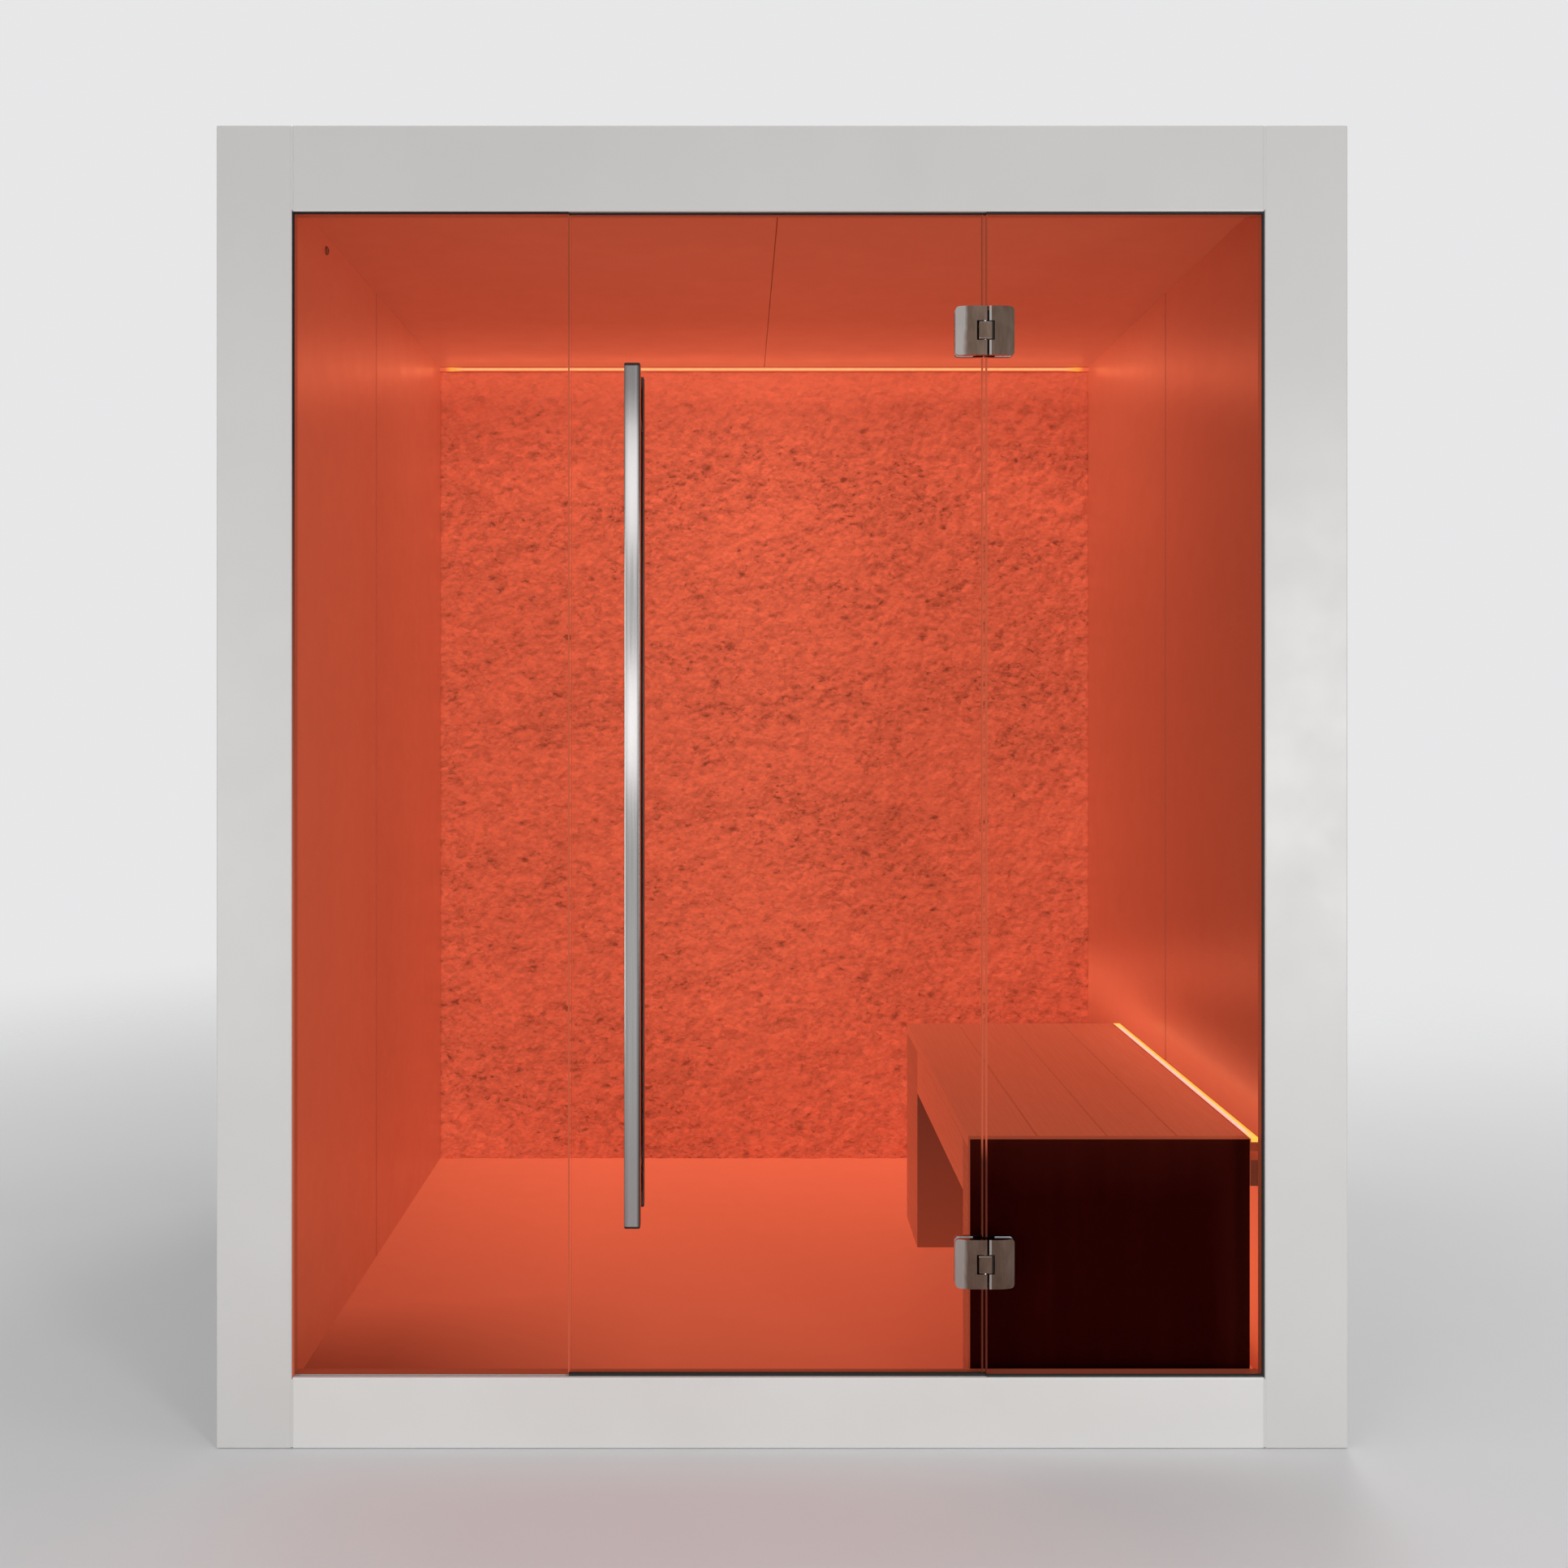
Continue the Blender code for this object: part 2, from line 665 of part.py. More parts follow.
def handle(axis, door_glass):
    """Two square bars, one on each face of the door, on posts that meet through the glass."""
    half, half_bar = HANDLE_LENGTH / 2, HANDLE_BAR / 2
    outer_back = GLASS_INSET - HANDLE_STANDOFF
    inner_front = GLASS_BACK + HANDLE_STANDOFF
    for word, first in {"outer": outer_back - HANDLE_BAR, "inner": inner_front}.items():
        block(
            f"handle_{word}_bar",
            (HANDLE_X - half_bar, first, HANDLE_Z - half),
            (HANDLE_X + half_bar, first + HANDLE_BAR, HANDLE_Z + half),
            STEEL,
            HANDLE_EDGE,
            axis,
        )
    reach = HANDLE_STANDOFF - FIT
    outer_profile = [
        (0, reach),
        (POST_RADIUS, reach),
        (POST_RADIUS, FIT),
        (SPIGOT_RADIUS, FIT),
        (SPIGOT_RADIUS, -GLASS),
        (0, -GLASS),
    ]
    inner_profile = [
        (0, -GLASS - FIT),
        (POST_RADIUS, -GLASS - FIT),
        (POST_RADIUS, -GLASS - reach),
        (0, -GLASS - reach),
    ]
    for word, side in {"top": 1, "bottom": -1}.items():
        height = HANDLE_Z + side * (half - HANDLE_POST_INSET)
        seat = at(HANDLE_X, GLASS_INSET, height)
        turned(f"handle_standoff_{word}_outer", outer_profile, seat, "front", STEEL, axis)
        turned(f"handle_standoff_{word}_inner", inner_profile, seat, "front", STEEL, axis)
        through = at(HANDLE_X, GLASS_INSET + GLASS / 2, height)
        drill = rod(f"handle_drill_{word}", SPIGOT_RADIUS + BOLT_PLAY, GLASS + 2 * OVERCUT, through, "Y")
        cut(door_glass, drill)


def glass_front(boards):
    """Fixed panes in the frame, and the door with its hinges and handle on the pin's axis."""
    left, right, header, sill = boards
    fixed_pane(
        "left_glass",
        OPEN_LEFT - GLASS_GROOVE,
        LATCH_X - LATCH_GAP / 2,
        (left, header, sill),
    )
    right_glass = fixed_pane(
        "right_glass",
        PIN_X + HINGE_GAP / 2,
        OPEN_RIGHT + GLASS_GROOVE,
        (right, header, sill),
    )
    axis = bpy.data.objects.new("door_axis", None)
    PARTS.objects.link(axis)
    axis.location = at(PIN_X, PIN_DEPTH, DOOR_BOTTOM)
    door_glass = block(
        "door_glass",
        (DOOR_LEFT, GLASS_INSET, DOOR_BOTTOM),
        (PIN_X - HINGE_GAP / 2, GLASS_BACK, DOOR_TOP),
        CLEAR_GLASS,
        GLASS_ARRIS,
        axis,
    )
    hinge("top", DOOR_TOP - TOP_HINGE_DROP, axis, door_glass, right_glass)
    hinge("bottom", DOOR_BOTTOM + BOTTOM_HINGE_RISE, axis, door_glass, right_glass)
    handle(axis, door_glass)


def bench_leg(word, first, last, top):
    """A box leg with a web inside, on a glide under each of its two ends."""
    bottom = DECK_Z + GLIDE_HEIGHT
    leg = block(
        f"bench_{word}_leg",
        (BENCH_LEFT, first, bottom),
        (BENCH_RIGHT, last, top),
        BENCH_BOARDS,
        PANEL_EDGE,
    )
    chamber = (BENCH_SEAT_DEPTH - 3 * BENCH_BOARD) / 2
    for number in range(2):
        x_low = BENCH_LEFT + BENCH_BOARD + number * (chamber + BENCH_BOARD)
        hollow = block(
            f"bench_{word}_leg_hollow_{number}",
            (x_low, first + BENCH_BOARD, bottom - OVERCUT),
            (x_low + chamber, last - BENCH_BOARD, top + OVERCUT),
        )
        cut(leg, hollow)
    length = GLIDE_HEIGHT - FIT + OVERCUT
    height = DECK_Z + FIT + length / 2
    for number, x in enumerate((BENCH_LEFT + BENCH_BOARD / 2, BENCH_RIGHT - BENCH_BOARD / 2)):
        where = at(x, (first + last) / 2, height)
        weld(leg, rod(f"bench_{word}_glide_{number}", GLIDE_RADIUS, length, where))


def bench():
    """Planks on two box legs behind a dark end panel, with aprons and a rail to the wall."""
    plank = (BENCH_SEAT_DEPTH - (PLANK_COUNT - 1) * PLANK_GAP) / PLANK_COUNT
    for number in range(PLANK_COUNT):
        x_low = BENCH_LEFT + number * (plank + PLANK_GAP)
        block(
            f"bench_plank_{number + 1}",
            (x_low, PLANK_FRONT, PLANK_Z),
            (x_low + plank, BENCH_BACK, BENCH_TOP),
            BENCH_BOARDS,
            PLANK_EDGE,
        )
    block(
        "bench_end_panel",
        (BENCH_LEFT, BENCH_FRONT, DECK_Z + GLIDE_HEIGHT),
        (BENCH_RIGHT, BENCH_FRONT + BENCH_BOARD, BENCH_TOP),
        DARK_BOARD,
        PANEL_EDGE,
    )
    top = PLANK_Z - FIT
    front_leg_back, rear_leg_front = BENCH_FRONT + FRONT_LEG, BENCH_BACK - REAR_LEG
    bench_leg("front", PLANK_FRONT, front_leg_back, top)
    bench_leg("rear", rear_leg_front, BENCH_BACK, top)
    for word, x_low in {"aisle": BENCH_LEFT, "wall": BENCH_RIGHT - BENCH_BOARD}.items():
        block(
            f"bench_apron_{word}",
            (x_low, front_leg_back + FIT, BENCH_TOP - BENCH_SLAB),
            (x_low + BENCH_BOARD, rear_leg_front - FIT, top),
            BENCH_BOARDS,
            PANEL_EDGE,
        )
    rail_top = BENCH_TOP - RAIL_DROP
    block(
        "bench_wall_rail",
        (BENCH_RIGHT + FIT, BENCH_FRONT, rail_top - RAIL_HEIGHT),
        (WALL_X - FIT, BENCH_BACK, rail_top),
        DARK_BOARD,
        PANEL_EDGE,
    )


def light_lines():
    """An aluminium profile with a lens in its open face, over the salt and along the bench."""
    half = WALL_X - FIT
    bottom, top = CEILING_Z - LED_FACE, CEILING_Z - FIT
    profile = block("wall_led_profile", (-half, SALT_FACE, bottom), (half, BACK_BOARD, top), ALUMINIUM)
    low = (-half - OVERCUT, SALT_FACE - OVERCUT, bottom + LED_WALL - FIT)
    high = (half + OVERCUT, SALT_FACE + LENS_THICKNESS + FIT, bottom + LED_WALL + LENS_FACE)
    cut(profile, block("wall_led_slot", low, high))
    low = (-half, SALT_FACE, bottom + LED_WALL)
    high = (half, SALT_FACE + LENS_THICKNESS, bottom + LED_WALL + LENS_FACE - FIT)
    block("wall_led_lens", low, high, LENS)

    left = BENCH_RIGHT + FIT
    low = (left, BENCH_FRONT, BENCH_TOP - LED_BODY)
    profile = block("bench_led_profile", low, (left + BENCH_LED_FACE, BENCH_BACK, BENCH_TOP), ALUMINIUM)
    low = (left + LED_WALL - FIT, BENCH_FRONT - OVERCUT, BENCH_TOP - LENS_THICKNESS - FIT)
    high = (left + LED_WALL + BENCH_LENS, BENCH_BACK + OVERCUT, BENCH_TOP + OVERCUT)
    cut(profile, block("bench_led_slot", low, high))
    low = (left + LED_WALL, BENCH_FRONT, BENCH_TOP - LENS_THICKNESS)
    high = (left + LED_WALL + BENCH_LENS - FIT, BENCH_BACK, BENCH_TOP)
    block("bench_led_lens", low, high, LENS)


def salt_system(lining):
    """Aerosol generator in the left wall, with its nozzle through the front lining panel."""
    top = NOZZLE_Z + GENERATOR_ABOVE
    block(
        "salt_generator",
        (-CLAD_X + FIT, NOZZLE_BACK - GENERATOR_WIDTH / 2, top - GENERATOR_HEIGHT),
        (-STUD_X - FIT, NOZZLE_BACK + GENERATOR_WIDTH / 2, top),
        BLACK_PLASTIC,
        GENERATOR_EDGE,
    )
    seat = at(-WALL_X, NOZZLE_BACK, NOZZLE_Z)
    profile = [
        (NOZZLE_BORE, NOZZLE_PROUD),
        (NOZZLE_TUBE, NOZZLE_PROUD),
        (NOZZLE_FLANGE, NOZZLE_RIM),
        (NOZZLE_FLANGE, FIT),
        (NOZZLE_TUBE, FIT),
        (NOZZLE_TUBE, -LINING),
        (NOZZLE_BORE, -LINING),
    ]
    turned("salt_nozzle", profile, seat, "right", BLACK_PLASTIC, closed=True)
    middle = at(-WALL_X - LINING / 2, NOZZLE_BACK, NOZZLE_Z)
    cut(lining, rod("salt_nozzle_drill", NOZZLE_TUBE + FIT, LINING + 2 * OVERCUT, middle, "X"))


def light_driver():
    """Driver of the light lines, on the left ceiling panel between the joists."""
    x_low = DRIVER_FROM_LEFT - STUD_X
    back = BACK_BOARD - DRIVER_FROM_BACK
    block(
        "led_driver",
        (x_low, back - DRIVER_WIDTH, JOIST_Z + FIT),
        (x_low + DRIVER_LENGTH, back, JOIST_Z + FIT + DRIVER_HEIGHT),
        ALUMINIUM,
        DRIVER_EDGE,
    )


def shade_round_pieces():
    """Smooth shading on the round and crowned pieces, with their real edges kept sharp."""
    for obj in PARTS.objects:
        if obj.name.startswith(("hinge_", "handle_", "salt_")):
            obj.data.shade_smooth()
            obj.data.set_sharp_from_angle(angle=math.radians(35))


def cabin():
    boards = frame_boards()
    left_panels = side_wall("left", -1)
    side_wall("right", 1)
    back_wall()
    roof()
    floor()
    glass_front(boards)
    bench()
    light_lines()
    salt_system(left_panels["front"])
    light_driver()
    shade_round_pieces()


cabin()
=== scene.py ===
"""Looks of the salt therapy cabin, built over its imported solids.

Metres, +Z up, -Y towards the viewer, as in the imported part.
"""

import math
from fnmatch import fnmatch

import bmesh
import bpy
import numpy as np
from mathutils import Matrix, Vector


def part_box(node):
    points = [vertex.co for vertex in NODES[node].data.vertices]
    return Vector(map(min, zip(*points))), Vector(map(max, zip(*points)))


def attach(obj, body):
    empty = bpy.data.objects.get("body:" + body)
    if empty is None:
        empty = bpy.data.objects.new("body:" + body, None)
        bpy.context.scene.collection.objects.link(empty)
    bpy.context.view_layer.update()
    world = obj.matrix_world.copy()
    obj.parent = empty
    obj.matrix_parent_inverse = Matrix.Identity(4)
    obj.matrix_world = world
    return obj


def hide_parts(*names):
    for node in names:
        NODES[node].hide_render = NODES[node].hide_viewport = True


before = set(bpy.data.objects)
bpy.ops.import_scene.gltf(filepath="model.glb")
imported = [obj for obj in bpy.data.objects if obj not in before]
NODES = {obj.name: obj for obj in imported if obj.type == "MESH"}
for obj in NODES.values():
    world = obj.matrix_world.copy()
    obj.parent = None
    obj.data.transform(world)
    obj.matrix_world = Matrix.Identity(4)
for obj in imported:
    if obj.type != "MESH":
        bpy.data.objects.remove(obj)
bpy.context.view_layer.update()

# Planes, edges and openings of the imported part
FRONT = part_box("left_post")[0].y
SALT_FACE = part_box("salt_wall")[0].y
GLASS_FRONT, GLASS_BACK = (corner.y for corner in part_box("left_glass"))
OPENING_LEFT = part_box("left_post")[1].x
OPENING_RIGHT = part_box("right_post")[0].x
OPENING_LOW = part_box("sill")[1].z
OPENING_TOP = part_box("header")[0].z
RIGHT_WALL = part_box("right_wall_lining_front")[0].x
WALL_SEAM = (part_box("left_wall_lining_front")[1].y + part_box("left_wall_lining_rear")[0].y) / 2
BENCH_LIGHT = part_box("bench_led_lens")

# Rounding of the frame's boards, and the play of new pieces
BOARD_ROUND = 0.0025
CLEARANCE = 0.0001

# Shine of the two light lines on the side walls: heights at the room's front and back, reach and strength
BAND_FRONT, BAND_BACK = 1.712, 2.035
LOW_BAND_FRONT, LOW_BAND_BACK = 0.755, 0.510
BAND_REACH = 0.055
BAND_LIGHT = 0.14

# Colours of the room under its own light
LIT = (0.46, 0.104, 0.050)
SALT = (0.55, 0.103, 0.049)
GLOWING = (0.80, 0.150, 0.070)
BENCH_RED = (0.370, 0.078, 0.036)

# Salt relief
SALT_STEP = 0.0046
SALT_SEED = 11
SALT_PITS = 600
SALT_DEEPEST = 0.016
SALT_WARP, SALT_WARP_SIZE = 0.014, 0.05
SALT_CLOUDS = ((0.0012, 0.17), (0.0013, 0.055), (0.0020, 0.026), (0.0013, 0.014))
SALT_CHIPS = ((0.0021, 0.022), (0.0012, 0.012))
PIT_DEPTH = 0.0035
PIT_SIZES = (0.006, 0.011)
PIT_FLATNESS = 0.55
MIDDLE_TONE = 0.5
# Painted light and shade of the relief: lighter on slopes facing up and left and on high parts, darker in
# pits
LIGHT_BY_SLOPE_UP, LIGHT_BY_SLOPE_ASIDE = 0.24, 0.155
LIGHT_BY_HEIGHT, SHADE_BY_PIT = 8.0, 0.25

# Beads, seals, screws, gaskets and fillers
BEAD_DEPTH = 0.0035
LEFT_BEAD, RIGHT_BEAD = 0.0030, 0.0036
HEAD_SEAL, FOOT_SEAL = 0.0030, 0.0044
HINGE_SEAL_LIP, HINGE_SEAL_WALL = 0.0012, 0.0007
LATCH_SEAL_LIP, LATCH_SEAL_WALL = 0.0010, 0.0006
SEAL_HINGE_GAP = 0.002
SCREW_RADIUS, SCREW_SOCKET, SCREW_SIDES = 0.005, 0.0022, 24
SCREW_SHOULDER, SCREW_HEIGHT, SOCKET_FLOOR = 0.0009, 0.0016, 0.0004
SCREW_TOP_SHARE = 0.85
SCREW_SINK = 0.0002
GASKET_INSET, GASKET_CORNER, GASKET_FROM_PIN = 0.0004, 0.004, 0.0175
FILLER_SLIT, FILLER_RECESS, FILLER_DEPTH = 0.00006, 0.0001, 0.008

# Camera
LENS, SENSOR = 34.75, 36.0
SHIFT_X, SHIFT_Y = 0.0316, -0.0497
CAMERA_X, CAMERA_HEIGHT, CAMERA_BEFORE_FRONT = -0.0758, 1.181, 2.407


class Surface:
    """A material with one Principled shader, and short ways to add the nodes that feed it."""

    def __init__(self, name, **constants):
        self.material = bpy.data.materials.new(name)
        self.material.use_nodes = True
        self.tree = self.material.node_tree
        self.shader = self.tree.nodes["Principled BSDF"]
        for word, value in constants.items():
            self.set(word, value)

    def set(self, word, value):
        """Feeds a shader input, named in words_with_underscores, from a number, colour or socket."""
        names = {socket.name.lower().replace(" ", "_"): socket for socket in self.shader.inputs}
        self.feed(names[word], value)

    def feed(self, socket, value):
        """Links an input to another node's output, or sets it to a number or colour."""
        if isinstance(value, bpy.types.NodeSocket):
            self.tree.links.new(value, socket)
        elif isinstance(value, (tuple, list)) and len(socket.default_value) == 4:
            socket.default_value = (*value, 1.0)[:4]
        else:
            socket.default_value = value

    def node(self, kind, settings=None, **inputs):
        made = self.tree.nodes.new("ShaderNode" + kind)
        for key, value in (settings or {}).items():
            setattr(made, key, value)
        for word, value in inputs.items():
            self.feed(made.inputs[word], value)
        return made

    def place(self, stretch=(1, 1, 1), turn=(0, 0, 0)):
        """Coordinates in metres in the part's frame, stretched and turned."""
        where = self.node("TexCoord").outputs["Object"]
        return self.node("Mapping", Vector=where, Scale=stretch, Rotation=turn).outputs[0]

    def noise(self, scale, detail=3.0, roughness=0.55, where=None, distortion=0.0):
        made = self.node("TexNoise", Scale=scale, Detail=detail, Roughness=roughness, Distortion=distortion)
        self.feed(made.inputs["Vector"], where or self.place())
        return made.outputs[0]

    def cells(self, scale, where):
        """Flakes of one size, each with its own level from 0 to 1."""
        return self.node("TexVoronoi", Scale=scale, Vector=where).outputs["Color"]

    def hill(self, value, middle, reach):
        """1 where a value is at the middle, half of that one reach away, and soon 0."""
        away = self.math(self.math(value, "SUBTRACT", middle), "DIVIDE", reach)
        return self.math(2.0, "POWER", self.math(self.math(away, "MULTIPLY", away), "MULTIPLY", -1.0))

    def range(self, value, low, high, start=0.0, end=1.0):
        """Low where a value is at its start, high at its end, even between and level beyond."""
        made = self.node("MapRange", Value=value)
        for word, number in zip(("From Min", "From Max", "To Min", "To Max"), (start, end, low, high)):
            made.inputs[word].default_value = number
        return made.outputs[0]

    def spread(self, noise, low, high):
        """The usual span of a noise, brought to two numbers."""
        return self.range(noise, low, high, start=0.3, end=0.7)

    def math(self, first, operation, *others):
        made = self.node("Math", {"operation": operation})
        for socket, value in zip(made.inputs, (first, *others)):
            self.feed(socket, value)
        return made.outputs[0]

    def within(self, value, low, high):
        """1 where a value lies between two numbers, otherwise 0."""
        return self.math(value, "COMPARE", (low + high) / 2, (high - low) / 2)

    def product(self, first, *others):
        """Some masks and shares multiplied."""
        for other in others:
            first = self.math(first, "MULTIPLY", other)
        return first

    def colours(self, factor, *stops):
        """A colour ramp of (position, colour) stops."""
        made = self.node("ValToRGB", Fac=factor)
        ramp = made.color_ramp
        while len(ramp.elements) < len(stops):
            ramp.elements.new(0.5)
        for element, (position, colour) in zip(ramp.elements, stops):
            element.position = position
            element.color = (*colour, 1.0)
        return made.outputs[0]

    def blend(self, factor, first, second):
        made = self.node("MixRGB")
        for word, value in zip(("Fac", "Color1", "Color2"), (factor, first, second)):
            self.feed(made.inputs[word], value)
        return made.outputs[0]

    def bump(self, height, strength, distance):
        made = self.node("Bump", Height=height, Strength=strength, Distance=distance)
        self.set("normal", made.outputs[0])

    def axis(self, letter, source="Object"):
        """One coordinate of a point in the part's frame, in metres."""
        where = self.node("TexCoord").outputs[source]
        return self.node("SeparateXYZ", Vector=where).outputs[letter]

    def facing(self, letter):
        """One part of the direction that a face looks in, from -1 to 1."""
        return self.axis(letter, "Normal")

    def depth(self, front, back):
        """A number that runs from the front of the room to its salt wall."""
        return self.range(self.axis("Y"), front, back, FRONT, SALT_FACE)


def shade(colour, share):
    return tuple(channel * share for channel in colour)


# Materials of the frame and the room


def white_lacquer(name, share=1.0, room_light_behind_glass=False):
    """Satin white lacquer: faint clouds, a little orange peel and hazy gloss; if asked, its faces behind the
    glass are painted with the room's light.
    """
    look = Surface(name, specular_ior_level=0.45)
    cloud = look.noise(scale=2.2, detail=4.0)
    greyer = shade((0.60, 0.588, 0.572), share)
    whiter = shade((0.645, 0.638, 0.628), share)
    white = look.colours(cloud, (0.25, greyer), (0.75, whiter))
    if room_light_behind_glass:
        # Painted room light: faces behind the glass take the room's lit colour and a weak glow
        margin = 0.001
        room = look.product(
            look.within(look.axis("X"), OPENING_LEFT - margin, OPENING_RIGHT + margin),
            look.within(look.axis("Z"), OPENING_LOW - margin, OPENING_TOP + margin),
            look.math(look.axis("Y"), "GREATER_THAN", GLASS_BACK - CLEARANCE),
        )
        white = look.blend(room, white, shade(LIT, 0.7))
        look.set("emission_color", GLOWING)
        look.set("emission_strength", look.math(room, "MULTIPLY", 0.08))
    look.set("base_color", white)
    look.set("roughness", look.spread(look.noise(scale=9.0, detail=5.0), 0.30, 0.42))
    look.bump(look.noise(scale=420.0, detail=2.0), strength=0.06, distance=0.0006)
    return look.material


def lit_lacquer(name, colour, rough, glow, light=GLOWING):
    """Smooth panel that glows with the light of the room, more or less towards its back."""
    look = Surface(name, specular_ior_level=0.35, emission_color=light)
    look.strength = look.depth(*glow)
    cloud = look.noise(scale=1.7)
    look.panel = look.colours(cloud, (0.25, shade(colour, 0.94)), (0.75, shade(colour, 1.05)))
    look.set("roughness", look.spread(look.noise(scale=14.0), rough - 0.03, rough + 0.05))
    look.bump(look.noise(scale=130.0, detail=2.0), strength=0.04, distance=0.0008)
    return look


def finish_lacquer(look, more=(), dim=0.0):
    """Sets a lit panel's colour and light, with more light in some masks and less in another."""
    for extra in more:
        look.strength = look.math(look.strength, "ADD", extra)
    look.set("base_color", look.blend(dim, look.panel, shade(LIT, 0.4)))
    look.set("emission_strength", look.math(look.strength, "MULTIPLY", look.math(1.0, "SUBTRACT", dim)))
    return look.material


def lit_wall(name, glow, head=0.0, beside_bench=0.0):
    """Side wall with a dark joint and a painted reflection of the upper light line, with more painted light
    at its head.

    Beside the bench it has painted light and a painted reflection of the bench's line too.
    """
    look = lit_lacquer(name, LIT, 0.33, glow)
    height = look.axis("Z")
    shine = look.hill(height, look.depth(BAND_FRONT, BAND_BACK), BAND_REACH)
    more = [
        look.math(shine, "MULTIPLY", BAND_LIGHT),
        look.range(height, low=0.0, high=head, start=1.40, end=1.85),
    ]
    if beside_bench:
        end = BENCH_LIGHT[1]
        behind = look.range(look.axis("Y"), low=1.0, high=0.4, start=end.y, end=end.y + 0.4)
        more.append(look.product(look.hill(height, end.z, reach=0.065), behind, beside_bench))
        low_shine = look.hill(height, look.depth(LOW_BAND_FRONT, LOW_BAND_BACK), BAND_REACH)
        more.append(look.math(low_shine, "MULTIPLY", BAND_LIGHT))
    half = 0.006
    joint = look.within(look.axis("Y"), WALL_SEAM - half, WALL_SEAM + half)
    return finish_lacquer(look, more, look.math(joint, "MULTIPLY", 0.25))


def lit_ceiling():
    """Ceiling, brighter close to the light line."""
    look = lit_lacquer("lit_ceiling", LIT, 0.44, glow=(0.165, 0.215), light=(0.80, 0.172, 0.084))
    near = look.range(look.axis("Y"), low=0.0, high=0.18, start=SALT_FACE - 0.45, end=SALT_FACE)
    return finish_lacquer(look, [near])


def lit_deck():
    """Floor, brightest at its back and in shade along its left side and in its front left corner."""
    look = lit_lacquer("lit_deck", shade(LIT, 1.08), 0.40, glow=(0.215, 0.69))
    across = look.axis("X")
    left = look.range(across, low=1.0, high=0.0, start=-0.68, end=-0.22)
    near = look.range(look.axis("Y"), low=0.80, high=0.0, start=-0.60, end=-0.15)
    side = look.range(across, low=0.16, high=0.0, start=-0.80, end=-0.40)
    return finish_lacquer(look, dim=look.math(look.product(left, near), "MAXIMUM", side))


def bench_wood(name, joints=(), aisle=0.0, front_dim=(0.55, 0.82)):
    """Smooth boards: faint grain along the bench, a dark line at each joint.

    Fronts are in shade from their foot to their head, and aisle sides evenly.
    """
    look = Surface(name, specular_ior_level=0.3, emission_color=GLOWING)
    along = look.place((1.0, 0.06, 1.0))
    grain = look.noise(scale=26.0, detail=6.0, roughness=0.6, where=along, distortion=0.4)
    pores = look.noise(scale=240.0, roughness=0.6, where=look.place((1.0, 0.03, 1.0)))
    mixed = look.math(look.spread(grain, 0.0, 0.7), "ADD", look.spread(pores, 0.0, 0.3))
    wood = look.colours(mixed, (0.0, shade(BENCH_RED, 0.94)), (1.0, shade(BENCH_RED, 1.04)))
    front = look.range(look.facing("Y"), low=1.0, high=0.0, start=-0.9, end=-0.6)
    height = look.range(look.axis("Z"), *front_dim, start=0.04, end=0.44)
    side = look.range(look.facing("X"), low=aisle, high=0.0, start=-0.9, end=-0.6)
    dim = look.math(look.math(front, "MULTIPLY", height), "MAXIMUM", side)
    half = 0.001
    for x in joints:
        line = look.within(look.axis("X"), x - half, x + half)
        dim = look.math(dim, "MAXIMUM", look.math(line, "MULTIPLY", 0.15))
    light = look.math(1.0, "SUBTRACT", dim)
    look.set("base_color", look.blend(dim, wood, shade(BENCH_RED, 0.15)))
    look.set("emission_strength", look.math(look.depth(0.20, 0.46), "MULTIPLY", light))
    look.set("roughness", look.spread(pores, 0.36, 0.52))
    look.bump(pores, strength=0.08, distance=0.0006)
    return look.material


def dark_panel():
    """Bench end: a face darkened with painted shade, less of it and a little redder towards its rim, with
    edges that catch the room's light.
    """
    look = Surface("dark_panel", specular_ior_level=0.0, emission_strength=0.16)
    face = look.range(look.facing("Y"), low=1.0, high=0.0, start=-0.95, end=-0.6)
    grain = look.noise(scale=30.0, detail=5.0, roughness=0.6, where=look.place((1.0, 1.0, 0.08)))
    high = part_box("bench_end_panel")[1]
    upper = look.range(look.axis("Z"), low=0.0, high=0.5, start=high.z - 0.10, end=high.z)
    outer = look.range(look.axis("X"), low=0.0, high=0.7, start=high.x - 0.06, end=high.x)
    rim = look.math(look.math(upper, "MAXIMUM", outer), "ADD", look.spread(grain, -0.12, 0.12))
    # Painted shade over the face, lighter towards the rim, with the grain's own tone
    dark = look.colours(rim, (0.0, (0.0190, 0.0009, 0.0007)), (1.0, (0.050, 0.0055, 0.0028)))
    look.set("base_color", look.blend(face, shade(LIT, 0.9), dark))
    look.set("roughness", look.spread(grain, 0.42, 0.58))
    look.set("emission_color", look.blend(face, LIT, (0.0, 0.0, 0.0)))
    return look.material


